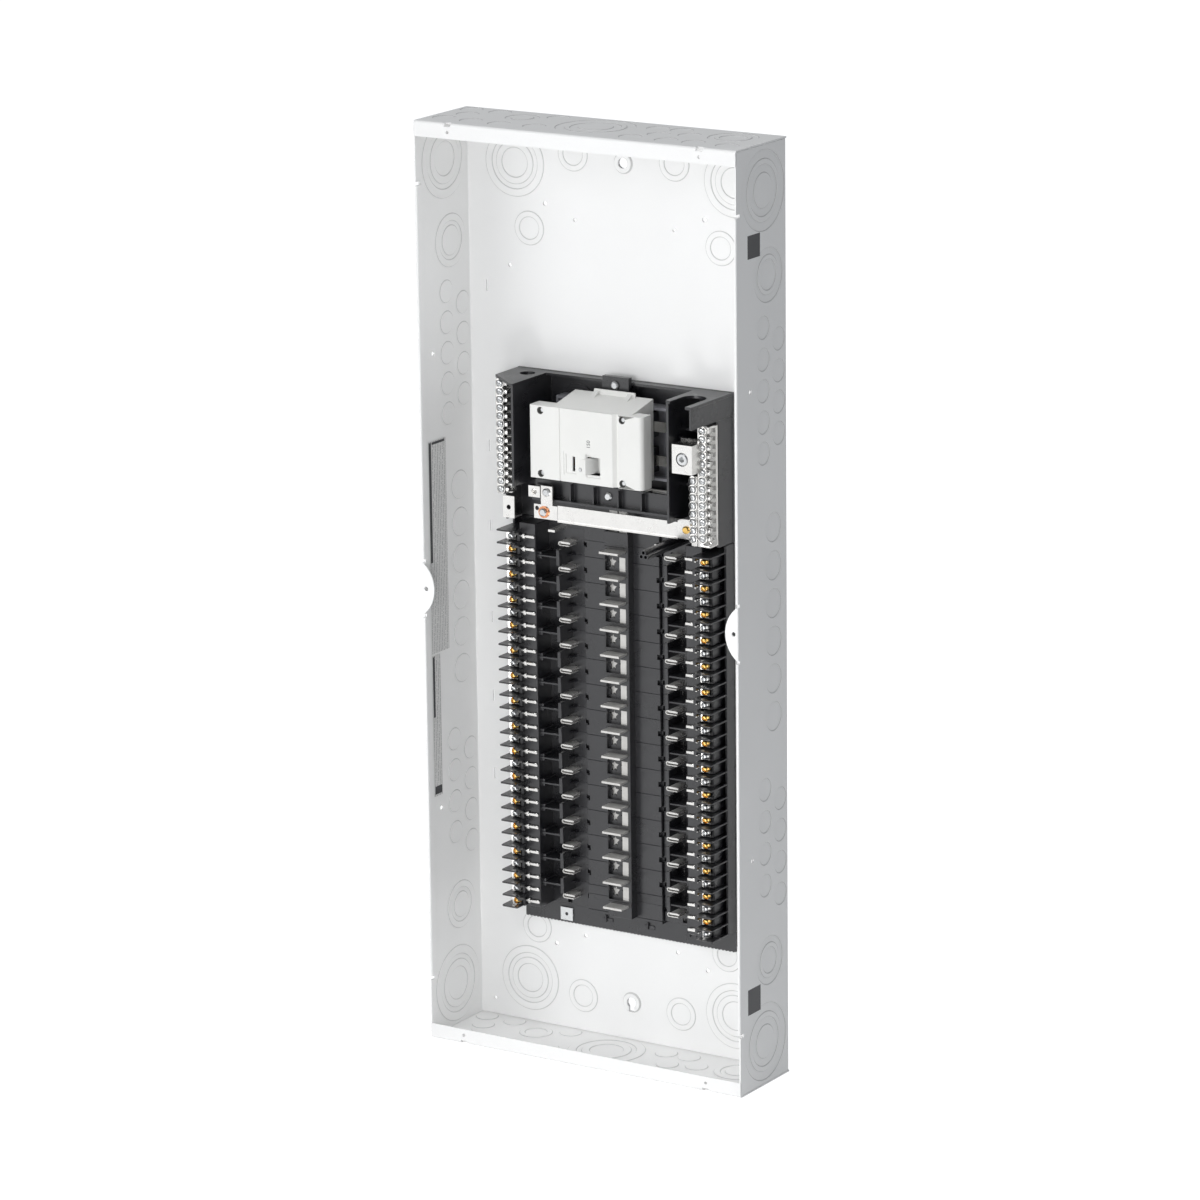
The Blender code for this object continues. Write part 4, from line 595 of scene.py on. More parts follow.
HANGER_Z = 0.417
HANGER_PAD = 0.0092
SIDE_HOLE_Z = 0.227
SIDE_HOLE_FRONT = 0.0675
PLATE_THICKNESS = 0.0003
SIDE_PLATES = (((0.0485, 0.0712), 0.3524, 0.3746), ((0.0535, 0.0770), -0.3790, -0.3535))
BACK_HOLES = ((0.0, HANGER_Z, 0.005), (0.0, -HANGER_Z, 0.005),
              (-0.0555, 0.3575, 0.0016), (0.0555, 0.3575, 0.0016),
              (-0.0890, 0.3705, 0.0022), (0.0890, 0.3705, 0.0022),
              (-0.1300, 0.3070, 0.0018), (0.0530, -0.3570, 0.0018), (-0.0530, -0.3570, 0.0018),
              (0.0870, -0.3700, 0.0020), (-0.0870, -0.3700, 0.0020),
              (-0.1605, -0.4390, 0.0016), (0.1605, -0.4390, 0.0016))
LANCE_X = 0.157
LANCE_Z = (0.2846, 0.1259, 0.0463, -0.0463, -0.1260, -0.2054)

wrap = make_wrap()


def end_section(up):
    """Outline of an end sheet, (front, z): the plate and its front lip, with a round bend."""
    edge = up * BOX_TOP
    centre = (BOX_DEPTH - BEND, edge - up * BEND)
    turn = (90 * up, 0)
    outer = [(0.0, edge)] + arc(centre, BEND, turn[0], turn[1], BEND_STEPS)
    outer += [(BOX_DEPTH, edge - up * LIP_HEIGHT)]
    inner = [(BOX_DEPTH - SHEET, edge - up * LIP_HEIGHT)]
    inner += arc(centre, BEND - SHEET, turn[1], turn[0], BEND_STEPS) + [(0.0, edge - up * SHEET)]
    return outer + inner


def make_end(name, up, node):
    bm = bmesh.new()
    prism(bm, end_section(up), -BOX_HALF, BOX_HALF, 'X')
    wall = make_object(name, bm, powder_coat)
    face = up * BOX_TOP

    def pads(bm):
        for x, front, radii in END_KNOCKOUTS:
            press_knockout(bm, at(x, front, face - up * SHEET), (0, 0, -up), radii, PRESS)

    carve(wall, pads, 'UNION')

    def recesses(bm):
        for x, front, radii in END_KNOCKOUTS:
            press_knockout(bm, at(x, front, face), (0, 0, -up), radii, PRESS)
        for side in (-1, 1):
            edge = face - up * 0.0035
            block(bm, (side * LIP_HOLE_X - LIP_SLOT_WIDTH / 2, side * LIP_HOLE_X + LIP_SLOT_WIDTH / 2),
                  (BOX_DEPTH - 0.0045, BOX_DEPTH + SHEET), (edge, face + up * SHEET), 0)
            drill(bm, at(side * LIP_HOLE_X, BOX_DEPTH, face - up * 0.0088), (0, -1, 0), 0.0017)

    carve(wall, recesses)
    shade(wall, 25.0)
    # painted shade on the sloped knockout rings of this end
    mark_press_shade(wall)
    return place_piece(wall, stands_for=[node])


make_end("top_end", 1, "top_end_wall")
make_end("bottom_end", -1, "bottom_end_wall")

# ---------------------------------------------------------------- rating plates and films
# Two dark plastic plates lie in shallow pockets of the right side; two printed films are
# stuck inside the left side. Their print is only bands and rows of short bars.
plate_black = make_finish("plate_black", (0.030, 0.031, 0.035), (0.05, 0.05, 0.055),
                          (0.3, 0.5), 900.0, 0.00001, patch=60.0)
for number, (front, low, high) in enumerate(SIDE_PLATES, 1):
    bm = bmesh.new()
    block(bm, (BOX_HALF - PLATE_THICKNESS + 0.00002, BOX_HALF - 0.00005),
          (front[0] + 0.0001, front[1] - 0.0001), (low + 0.0001, high - 0.0001), 0.00005)
    for row in range(5):
        middle = low + (high - low) * (row + 0.8) / 5.6
        row_end = front[1] - 0.004 - 0.002 * (row % 2)
        block(bm, (BOX_HALF - 0.0001, BOX_HALF - 0.00001), (front[0] + 0.003, row_end),
              (middle - 0.0004, middle + 0.0004), 0)
    place_piece(make_object("side_plate_" + str(number), bm, plate_black))


def film_finish():
    """Printed film: pale ground with rows of short dark bars, by place on the sheet."""
    made = make_finish("printed_film", (0.70, 0.70, 0.69), (0.66, 0.66, 0.65),
                       (0.35, 0.5), 500.0, 0.00001, patch=15.0)
    tree = made.node_tree
    place = add_node(tree, 'ShaderNodeTexCoord')
    bars = add_node(tree, 'ShaderNodeTexNoise', {"Scale": 1.0, "Detail": 2.0})
    spread = add_node(tree, 'ShaderNodeVectorMath', {1: (0.0, 420.0, 900.0)}, operation='MULTIPLY')
    rows = add_node(tree, 'ShaderNodeTexWave', {"Scale": 110.0}, bands_direction='Y')
    ink = add_node(tree, 'ShaderNodeMath', operation='MULTIPLY')
    mask = add_node(tree, 'ShaderNodeMapRange', {"From Min": 0.36, "From Max": 0.44})
    join(tree, (place, "Object", spread, 0), (spread, 0, bars, "Vector"),
         (place, "Object", rows, "Vector"), (bars, "Fac", ink, 0), (rows, "Fac", ink, 1),
         (ink, 0, mask, "Value"))
    mix_in(made, mask.outputs["Result"], (0.30, 0.30, 0.31))
    return made


printed_film = film_finish()
print_ink = make_finish("print_ink", (0.035, 0.035, 0.04), (0.05, 0.05, 0.055),
                        (0.4, 0.5), 600.0, 0.00001)


def dress(node, material):
    """Give a CAD node, whose shape stays, its finish."""
    thing = frame["nodes"][node]
    thing.data.materials.clear()
    thing.data.materials.append(material)


for film in ("wiring_label_upper", "wiring_label_lower"):
    dress(film, printed_film)
    low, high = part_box(film)
    bm = bmesh.new()
    ink_x = (high.x + 0.00002, high.x + 0.00006)
    front = (-low.y, -high.y)
    if film == "wiring_label_upper":
        block(bm, ink_x, (front[0] - 0.0008, front[0] - 0.0050), (high.z - 0.120, high.z - 0.001), 0)
        block(bm, ink_x, (front[0] - 0.006, front[1] + 0.002), (high.z - 0.0035, high.z - 0.001), 0)
    else:
        block(bm, ink_x, (front[0] - 0.0008, front[0] - 0.0042), (high.z - 0.062, high.z - 0.001), 0)
        block(bm, ink_x, (front[0] - 0.001, front[1] + 0.001), (low.z + 0.002, low.z + 0.010), 0)
    place_piece(make_object(film + "_ink", bm, print_ink))

# ---------------------------------------------------------------- moulded bus base
# Black glass-filled plastic in one long moulding: a raised spine over the bus bars with
# sockets between the stabs, and a flat deck on each side with a groove at every slot.
SLOT_PITCH = 0.0254
SLOT_COUNT = 15
HALF_PITCH = SLOT_PITCH / 2
SLOT_STEP = (0.0, 0.0, -SLOT_PITCH)
SLOT_TOP = 0.0567
DECK = 0.012
SPINE_HALF = 0.0135
SPINE_FRONT = 0.022
BASE_HALF = 0.0424
GROOVE = 0.0004
CELL_RISE = 0.0035         # one repeated length of the base starts this far above a stab
black_plastic = make_finish("black_plastic", (0.009, 0.009, 0.011), (0.014, 0.014, 0.017),
                            (0.24, 0.36), 1500.0, 0.00003, patch=35.0, specular=0.85)
deep_black = make_finish("deep_black", (0.006, 0.006, 0.007), (0.010, 0.010, 0.012),
                         (0.6, 0.8), 800.0, 0.00002)


def copy_row_tree():
    """Copies of a piece along a straight row."""
    tree = bpy.data.node_groups.new("row_of_copies", 'GeometryNodeTree')
    for label, way, kind in (("Piece", 'INPUT', 'NodeSocketGeometry'),
                             ("Count", 'INPUT', 'NodeSocketInt'),
                             ("Step", 'INPUT', 'NodeSocketVector'),
                             ("Finish", 'INPUT', 'NodeSocketMaterial'),
                             ("Row", 'OUTPUT', 'NodeSocketGeometry')):
        tree.interface.new_socket(label, in_out=way, socket_type=kind)
    given = add_node(tree, 'NodeGroupInput')
    line = add_node(tree, 'GeometryNodeMeshLine', mode='OFFSET')
    copies = add_node(tree, 'GeometryNodeInstanceOnPoints')
    real = add_node(tree, 'GeometryNodeRealizeInstances')
    paint = add_node(tree, 'GeometryNodeSetMaterial')
    result = add_node(tree, 'NodeGroupOutput')
    join(tree, (given, "Count", line, "Count"), (given, "Step", line, "Offset"),
         (line, "Mesh", copies, "Points"), (given, "Piece", copies, "Instance"),
         (copies, "Instances", real, "Geometry"), (real, "Geometry", paint, "Geometry"),
         (given, "Finish", paint, "Material"), (paint, "Geometry", result, "Row"))
    return tree


copy_row = copy_row_tree()


def repeat(made, count, step, material):
    """Turn one piece into a row of copies of itself."""
    row = made.modifiers.new("row", 'NODES')
    row.node_group = copy_row
    values = {"Count": count, "Step": step, "Finish": material}
    for item in copy_row.interface.items_tree:
        if item.in_out == 'INPUT' and item.name in values:
            row[item.identifier] = values[item.name]
    bake_modifiers(made)
    made.data.materials.clear()
    made.data.materials.append(material)
    shade(made)
    return made


def star(centre, outer, inner, points=5, turn=18):
    """Outline of a star-shaped socket, (x, z)."""
    found = []
    for step in range(points * 2):
        angle = math.radians(turn + 180 * step / points)
        radius = inner if step % 2 else outer
        found.append((centre[0] + radius * math.cos(angle),
                      centre[1] + radius * 1.25 * math.sin(angle)))
    return found


def make_bus_base():
    """One slot of the base, repeated down the interior."""
    middle = SLOT_TOP - HALF_PITCH
    low = middle - HALF_PITCH
    high = middle + CELL_RISE
    bm = bmesh.new()
    outline = [(-BASE_HALF, 0.0020), (-BASE_HALF, DECK - GROOVE), (-BASE_HALF + GROOVE, DECK),
               (-SPINE_HALF, DECK), (-SPINE_HALF, SPINE_FRONT - GROOVE),
               (-SPINE_HALF + GROOVE, SPINE_FRONT)]
    outline += [(-x, front) for x, front in reversed(outline)]
    prism(bm, outline, high - SLOT_PITCH, high, 'Z')
    cell = make_object("bus_base", bm, black_plastic)

    def groove(bm):
        for start, end in ((-BASE_HALF - 0.01, -SPINE_HALF), (SPINE_HALF, BASE_HALF + 0.01)):
            prism(bm, [(DECK - GROOVE * 1.5, low - GROOVE * 0.2), (DECK + GROOVE, low - GROOVE),
                       (DECK + GROOVE, low + GROOVE * 1.4)], start, end, 'X')

    carve(cell, groove)

    def openings(bm):
        for side in (-1, 1):
            block(bm, (side * (BASE_HALF - 0.0032), side * (BASE_HALF + 0.001)),
                  (DECK - 0.0045, DECK + 0.001), (middle - 0.0035, middle + 0.0015), 0)
        block(bm, (-0.0112, 0.0112), (SPINE_FRONT - 0.008, SPINE_FRONT + 0.001),
              (middle - 0.0016, middle + 0.0016), 0)

    carve(cell, openings)
    carve(cell, lambda bm: block(bm, (-0.0126, 0.0104), (SPINE_FRONT - 0.0040, SPINE_FRONT + 0.001),
                                 (middle - 0.0206, middle - 0.0060), 0))

    def stars(bm):
        for x in (-0.0072, 0.0046):
            prism(bm, star((x, middle - 0.0130), 0.0052, 0.0026), SPINE_FRONT - 0.013,
                  SPINE_FRONT + 0.001, 'FRONT')

    carve(cell, stars)
    repeat(cell, SLOT_COUNT - 1, SLOT_STEP, black_plastic)
    return cell


base = make_bus_base()
first_cell = SLOT_TOP - HALF_PITCH + CELL_RISE
base_low, base_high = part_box("centre_bus_base")
bm = bmesh.new()
for z in ((first_cell + 0.0001, base_high.z - 0.0002),
          (base_low.z, first_cell - (SLOT_COUNT - 1) * SLOT_PITCH - 0.0001)):
    block(bm, (-BASE_HALF, BASE_HALF), (0.0020, DECK), z)
    block(bm, (-SPINE_HALF, SPINE_HALF), (DECK - 0.001, SPINE_FRONT), z)
head = make_object("bus_base_ends", bm, black_plastic)
place_piece(head)
place_piece(base, stands_for=["centre_bus_base"])

# Small bright rivets sit in the right-hand sockets, over the bars.
bm = bmesh.new()
turned(bm, ((0.0, 0.0012), (0.0009, 0.0010), (0.0014, 0.0), (0.0, 0.0)),
       at(0.0090, SPINE_FRONT - 0.0038, SLOT_TOP - HALF_PITCH - 0.0185), (0, -1, 0), 12)
tinned = make_finish("tin_plate", (0.78, 0.77, 0.75), (0.72, 0.71, 0.69), (0.16, 0.32),
                     260.0, 0.00002, metallic=1.0, patch=70.0)
dull_tin = make_finish("dull_tin", (0.66, 0.65, 0.63), (0.58, 0.57, 0.55), (0.42, 0.58),
                       420.0, 0.00002, metallic=0.55, patch=60.0)
for bar in ("bus_bar_phase_a", "bus_bar_phase_b"):
    dress(bar, dull_tin)
rivets = repeat(make_object("bus_rivets", bm, tinned), SLOT_COUNT - 1, SLOT_STEP, tinned)
place_piece(rivets)

# ---------------------------------------------------------------- branch terminal rails
# One black moulding on each side: a low deck, posts and arms that guide the branch
# breakers, a shelf for the wire terminals and a thin barrier fin on each side of a wire.
RAIL_DECK = 0.0085
RAIL_INNER = 0.0427
SHELF_IN = 0.0847
FIN_IN = 0.1032
RAIL_OUT = 0.1207
SHELF_FRONT = 0.033
FIN_FRONT = 0.048
FIN_THICK = 0.0016
FLOOR_BACK = 0.0018
POST_X = 0.061
POST_FRONT = 0.031
POST_HALF = 0.002          # half a post's thickness
KERB_FRONT = 0.018         # front of the rail's outer wall and of a post's brace
HALF_STEP = (0.0, 0.0, -HALF_PITCH)
RAIL_TOP = 0.0625
CLIP_SLOT = (0.0535, 0.0668)   # opening of the deck that a neutral clip stands in
TERMINAL_STEP_OUT = 0.1155     # outer end of the step that carries a terminal
SLOT_BOTTOM = SLOT_TOP - SLOT_COUNT * SLOT_PITCH


def across(side, start, end):
    return (side * start, side * end)


def make_rail(side, label):
    """Shelf, deck, posts, arms and fins of one side."""
    bm = bmesh.new()
    z = (SLOT_BOTTOM, RAIL_TOP)
    block(bm, across(side, SHELF_IN, FIN_IN), (FLOOR_BACK, SHELF_FRONT), z, 0.0006)
    block(bm, across(side, FIN_IN - 0.0001, RAIL_OUT), (FLOOR_BACK, FLOOR_BACK + 0.0025), z)
    block(bm, across(side, RAIL_OUT - 0.0025, RAIL_OUT), (FLOOR_BACK + 0.001, KERB_FRONT), z, 0.0004)
    block(bm, across(side, RAIL_INNER, SHELF_IN + 0.0005), (FLOOR_BACK, RAIL_DECK),
          (SLOT_TOP - 0.0001, RAIL_TOP))
    shelf = make_object(label + "_terminal_shelf", bm, black_plastic)
    top = SLOT_TOP
    foot = top - SLOT_PITCH
    bm = bmesh.new()
    prism(bm, [(side * u, v) for u, v in
               ((RAIL_INNER, FLOOR_BACK), (RAIL_INNER, RAIL_DECK - 0.0004),
                (RAIL_INNER + 0.0004, RAIL_DECK),
                (SHELF_IN + 0.0005, RAIL_DECK), (SHELF_IN + 0.0005, FLOOR_BACK))],
          foot, top, 'Z')
    deck = make_object(label + "_rail_deck", bm, black_plastic)

    def deck_cuts(bm):
        middle = top - HALF_PITCH
        prism(bm, [(RAIL_DECK - 0.0006, foot - 0.0001),
                   (RAIL_DECK + 0.0005, foot - 0.0006),
                   (RAIL_DECK + 0.0005, foot + 0.0006)],
              *sorted(across(side, RAIL_INNER - 0.001, SHELF_IN + 0.002)), 'X')
        block(bm, across(side, RAIL_INNER - 0.001, RAIL_INNER + 0.0026), (RAIL_DECK - 0.004, 0.010),
              (middle - 0.0032, middle + 0.0012), 0)
        block(bm, across(side, *CLIP_SLOT), (RAIL_DECK - 0.005, 0.010),
              (middle - 0.0022, middle + 0.0022), 0)
        block(bm, across(side, POST_X + 0.0025, POST_X + 0.0075), (RAIL_DECK - 0.004, 0.010),
              (foot + 0.0015, foot + 0.0062), 0)

    carve(deck, deck_cuts)
    repeat(deck, SLOT_COUNT, SLOT_STEP, black_plastic)

    bm = bmesh.new()
    block(bm, across(side, POST_X - POST_HALF, POST_X + POST_HALF), (RAIL_DECK - 0.0005, POST_FRONT),
          (foot - 0.0080, foot + 0.0080), 0.0005)
    block(bm, across(side, POST_X + 0.0018, SHELF_IN + 0.0005), (RAIL_DECK - 0.0005, POST_FRONT - 0.001),
          (foot - 0.001, foot + 0.001), 0.0004)
    block(bm, across(side, SHELF_IN - 0.004, SHELF_IN + 0.0005), (RAIL_DECK - 0.0005, SHELF_FRONT - 0.004),
          (foot - 0.0035, foot + 0.0035), 0.0004)
    prism(bm, [(side * (POST_X - POST_HALF), RAIL_DECK - 0.0005),
               (side * (POST_X - POST_HALF), KERB_FRONT),
               (side * (POST_X - 0.007), RAIL_DECK - 0.0005)],
          foot - 0.0008, foot + 0.0008, 'Z')
    posts = repeat(make_object(label + "_guide_posts", bm, black_plastic), SLOT_COUNT - 1,
                   SLOT_STEP, black_plastic)

    bm = bmesh.new()
    fin = [(FIN_IN - 0.0005, FLOOR_BACK + 0.001), (FIN_IN - 0.0005, FIN_FRONT),
           (RAIL_OUT - 0.0012, FIN_FRONT), (RAIL_OUT - 0.0002, FIN_FRONT - 0.0012),
           (RAIL_OUT - 0.0002, FLOOR_BACK + 0.001)]
    prism(bm, [(side * u, v) for u, v in fin], top - FIN_THICK, top - 0.0001, 'Z')
    fin_rim = [line for line in bm.edges if abs(line.verts[0].co.z - line.verts[1].co.z) < 1e-6]
    bmesh.ops.bevel(bm, geom=fin_rim, offset=0.0003, segments=1, affect='EDGES', profile=0.5)
    block(bm, across(side, FIN_IN - 0.0030, FIN_IN + 0.0004), (SHELF_FRONT - 0.001, FIN_FRONT - 0.0015),
          (top - 0.0052, top - 0.0001), 0.0004)
    block(bm, across(side, FIN_IN - 0.0026, FIN_IN + 0.0002), (SHELF_FRONT - 0.001, SHELF_FRONT + 0.004),
          (top - HALF_PITCH + 0.0001, top - 0.0052), 0.0003)
    block(bm, across(side, FIN_IN, TERMINAL_STEP_OUT), (FLOOR_BACK + 0.002, 0.0345),
          (top - HALF_PITCH + 0.0002, top - FIN_THICK + 0.0002), 0.0004)
    fins = repeat(make_object(label + "_barrier_fins", bm, black_plastic), SLOT_COUNT * 2,
                  HALF_STEP, black_plastic)
    bm = bmesh.new()
    prism(bm, [(side * u, v) for u, v in fin], SLOT_BOTTOM, SLOT_BOTTOM + FIN_THICK, 'Z')
    last = make_object(label + "_last_fin", bm, black_plastic)
    for made in (deck, posts, fins, last):
        place_piece(made)
    place_piece(shelf, stands_for=[label + "_terminal_rail_" + part
                                                    for part in ("upper", "middle", "lower")])


for side, label in ((-1, "left"), (1, "right")):
    make_rail(side, label)

# ---------------------------------------------------------------- branch terminals
# Each wire lands under a slotted screw on a bent tin-plated saddle, whose tongue reaches
# in to the branch breaker. Hot terminals have a zinc screw and neutral ones a brass one.
brass_finish = make_finish("brass_plate", (0.90, 0.60, 0.18), (0.74, 0.47, 0.14), (0.16, 0.34),
                           300.0, 0.00002, metallic=1.0)
zinc_finish = make_finish("zinc_plate", (0.72, 0.73, 0.73), (0.54, 0.55, 0.56), (0.18, 0.38),
                          350.0, 0.00002, metallic=1.0)
TERMINAL_SCREW_X = 0.1085
TERMINAL_SCREW_RADIUS = 0.0034
TERMINAL_SCREW_FRONT = 0.0405
TONGUE_FRONT = 0.0352
SADDLE = ((0.1040, 0.0372), (0.1085, 0.0352), (0.1135, 0.0378), (0.1140, 0.0388),
          (0.1085, 0.0364), (0.1040, 0.0384))
# Parts of the tongue: start, end, how far they reach behind and past its front, half the
# height, and the eased edge.
TONGUE_PARTS = ((0.0945, 0.1042, 0.0012, 0.0, 0.0009, 0.0002),
                (0.0955, 0.0985, 0.0016, 0.0006, 0.0024, 0.0005),
                (0.0850, 0.0948, 0.0012, 0.0002, 0.0016, 0.0005),
                (0.0852, 0.0946, 0.0060, -0.0012, 0.0006, 0.0001))


def slotted_screw(name, place, radius, height, material, turn=0.0, sides=16):
    """Round head with a crowned top and a driver slot, its underside at the given place."""
    bm = bmesh.new()
    turned(bm, ((0.0, height), (radius * 0.55, height * 0.96), (radius * 0.86, height * 0.74),
                (radius, height * 0.35), (radius, 0.0), (0.0, 0.0)), place, (0, -1, 0), sides)
    made = make_object(name, bm, material)

    def slot(bm):
        block(bm, (-radius * 1.2, radius * 1.2), (height * 0.45, height * 2),
              (-radius * 0.15, radius * 0.15), 0)
        spin = Matrix.Translation(place) @ Matrix.Rotation(turn, 4, 'Y')
        bmesh.ops.transform(bm, matrix=spin, verts=bm.verts)

    carve(made, slot)
    return made


def make_branch_terminals(side, label):
    top = SLOT_TOP - HALF_PITCH * 0.56
    bm = bmesh.new()
    prism(bm, [(side * u, v) for u, v in SADDLE], top - 0.0040, top + 0.0034, 'Z')
    for start, end, behind, past, half, edge in TONGUE_PARTS:
        block(bm, across(side, start, end), (TONGUE_FRONT - behind, TONGUE_FRONT + past),
              (top - half, top + half), edge)
    saddles = repeat(make_object(label + "_branch_saddles", bm, tinned), SLOT_COUNT * 2,
                     HALF_STEP, tinned)
    place_piece(saddles)
    first_brass = side > 0
    for step in (0, 1):
        brass_row = (step == 0) == first_brass
        word = "brass" if brass_row else "zinc"
        finish = brass_finish if brass_row else zinc_finish
        screw = slotted_screw(label + "_" + word + "_branch_screws",
                              at(side * TERMINAL_SCREW_X, TERMINAL_SCREW_FRONT - 0.003,
                                 top - step * HALF_PITCH),
                              TERMINAL_SCREW_RADIUS, 0.0042, finish, math.radians(35 + 40 * step), 14)
        repeat(screw, SLOT_COUNT, SLOT_STEP, finish)
        place_piece(screw)


for side, label in ((-1, "left"), (1, "right")):
    make_branch_terminals(side, label)

# ---------------------------------------------------------------- neutral clips
# A tin-plated strip bent into a narrow hairpin stands up through each slot of a rail.
CLIP_X = 0.060
CLIP_LENGTH = 0.0125
CLIP_GAP = 0.0026
CLIP_SHEET = 0.0009
CLIP_FRONT = 0.0215


def make_clips(side, label):
    middle = SLOT_TOP - HALF_PITCH - 0.0006
    radius = CLIP_GAP / 2
    left = side * CLIP_X - CLIP_LENGTH / 2
    right = left + CLIP_LENGTH
    bend = (left + radius + CLIP_SHEET, middle)
    outside = [(right, middle + radius + CLIP_SHEET)] + arc(bend, radius + CLIP_SHEET, 90, 270, 8)
    outside += [(right, middle - radius - CLIP_SHEET), (right, middle - radius)]
    inside = arc(bend, radius, 270, 90, 8) + [(right, middle + radius)]
    bm = bmesh.new()
    prism(bm, outside + inside, 0.0035, CLIP_FRONT, 'FRONT')
    clips = repeat(make_object(label + "_neutral_clips", bm, dull_tin), SLOT_COUNT,
                   SLOT_STEP, dull_tin)
    place_piece(clips)


for side, label in ((-1, "left"), (1, "right")):
    make_clips(side, label)

# ---------------------------------------------------------------- bottom flange
# Thin black skirt below the last slots, with a finely toothed lower edge.
TOOTH_COUNT = 60
TOOTH_PITCH = 0.00402
LATCH_X = (-0.030, 0.018, 0.066)
low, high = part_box("bottom_flange_strip")
bm = bmesh.new()
block(bm, (low.x + 0.0002, low.x + 0.0022), (FLOOR_BACK, 0.0040),
      (low.z - 0.0009, low.z + 0.0004), 0.0003)
teeth = repeat(make_object("flange_teeth", bm, black_plastic), TOOTH_COUNT,
               (TOOTH_PITCH, 0.0, 0.0), black_plastic)
place_piece(teeth)
bm = bmesh.new()
for x in LATCH_X:
    block(bm, (x, x + 0.011), (0.0040, 0.0052), (high.z - 0.0125, high.z - 0.0085), 0.0003)
    block(bm, (x + 0.003, x + 0.0045), (0.0040, 0.0070), (high.z - 0.0125, high.z - 0.0045), 0.0003)
place_piece(make_object("flange_latches", bm, black_plastic))

# ---------------------------------------------------------------- breaker housing
# One black moulding that holds the main breaker and both neutral bars; its edges are eased.


def ease_edges(made, width, angle, clamped=True):
    """Round the edges that are sharper than an angle."""
    ease = made.modifiers.new("ease", 'BEVEL')
    ease.width = width
    ease.segments = 2
    ease.limit_method = 'ANGLE'
    ease.angle_limit = math.radians(angle)
    ease.use_clamp_overlap = clamped
    bake_modifiers(made)


def soften(node, name, width, material, angle=30.0):
    """Copy of a CAD node with eased edges, shown in its place."""
    source = frame["nodes"][node]
    bm = bmesh.new()
    bm.from_mesh(source.data)
    bmesh.ops.remove_doubles(bm, verts=bm.verts, dist=0.000004)
    bmesh.ops.dissolve_limit(bm, angle_limit=math.radians(1.0), verts=bm.verts, edges=bm.edges)
    made = make_object(name, bm, material)
    ease_edges(made, width, angle, clamped=False)
    shade(made, 40.0)
    level_faces(made)
    return place_piece(made, source["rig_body"], [node])


soften("main_breaker_housing", "breaker_housing", 0.00022, black_plastic)
bm = bmesh.new()
for radius in (0.0235, 0.0185, 0.0135):
    turned(bm, ((radius - 0.0008, 0.0), (radius - 0.0008, 0.0012), (radius, 0.0012),
                (radius, 0.0), (radius - 0.0008, 0.0)), at(-0.052, 0.0048, 0.176), (0, -1, 0), 40)
place_piece(make_object("housing_floor_rings", bm, black_plastic))

# ---------------------------------------------------------------- neutral bars
# Tin-plated aluminium bars, drilled from the side for wires, with a clamp screw on each.
WIRE_PITCH = 0.0080
WIRE_STEP = (0.0, 0.0, -WIRE_PITCH)
SCREW_ASIDE = 0.0008       # a clamp screw stands this far left of its column's middle
BAR_SCREW_RADIUS = 0.0036


def make_neutral_bar(node, name, screw_name, columns):
    """Bar with side wire holes, and one row of clamp screws for each column."""
    low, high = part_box(node)
    front = -low.y
    back = -high.y
    bm = bmesh.new()
    for x, z in columns:
        block(bm, x, (back, front), z, 0.0007)
    bar = make_object(name, bm, tinned)
    for number, (x, z) in enumerate(columns):
        count = int((z[1] - z[0]) / WIRE_PITCH)
        top = z[1] - WIRE_PITCH * 0.55
        screw_place = at(sum(x) / 2 - SCREW_ASIDE, front - 0.0002, top)

        def holes(bm):
            for step in range(count):
                height = top - step * WIRE_PITCH
                block(bm, (x[0] - 0.001, x[1] + 0.001), (back + 0.0045, back + 0.0105),
                      (height - 0.0024, height + 0.0024), 0)

        def notches(bm):
            for step in range(count):
                height = top - step * WIRE_PITCH - WIRE_PITCH / 2
                block(bm, (x[1] - 0.0042, x[1] + 0.001), (front - 0.006, front + 0.001),
                      (height - 0.0017, height + 0.0017), 0)

        if number == 0:
            carve(bar, holes)
            carve(bar, notches)
        screw = slotted_screw(screw_name + str(number), screw_place, BAR_SCREW_RADIUS, 0.0030,
                              zinc_finish, math.radians(20 + 50 * number))
        repeat(screw, count, WIRE_STEP, zinc_finish)
        place_piece(screw)
        bm = bmesh.new()
        cup = BAR_SCREW_RADIUS + 0.0011
        turned(bm, ((cup - 0.0009, 0.0), (cup - 0.0009, 0.0014), (cup, 0.0012), (cup, 0.0),
                    (cup - 0.0009, 0.0)), screw_place, (0, -1, 0), 16)
        cups = repeat(make_object(name + "_cups" + str(number), bm, tinned), count, WIRE_STEP, tinned)
        place_piece(cups)
    return bar


low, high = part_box("neutral_bar_left")
place_piece(make_neutral_bar("neutral_bar_left", "left_neutral_bar", "left_bar_screws_",
                             [((low.x + 0.0005, high.x), (low.z, high.z))]),
            stands_for=["neutral_bar_left"])
low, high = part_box("neutral_bar_right")
bar_inner = high.x - 0.014
lug_low, lug_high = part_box("main_neutral_lug")
right_bar = make_neutral_bar("neutral_bar_right", "right_neutral_bar", "right_bar_screws_",
                             [((bar_inner, high.x), (low.z, high.z)),
                              ((bar_inner - 0.0072, bar_inner - 0.0001), (low.z, lug_low.z - 0.006))])


def lug_seat(bm):
    middle = (lug_low.z + lug_high.z) / 2
    block(bm, (bar_inner - 0.018, bar_inner + 0.001), (0.0422, 0.0458),
          (middle - 0.016, middle + 0.016), 0.0003)


carve(right_bar, lug_seat, 'UNION')
place_piece(right_bar, stands_for=["neutral_bar_right"])

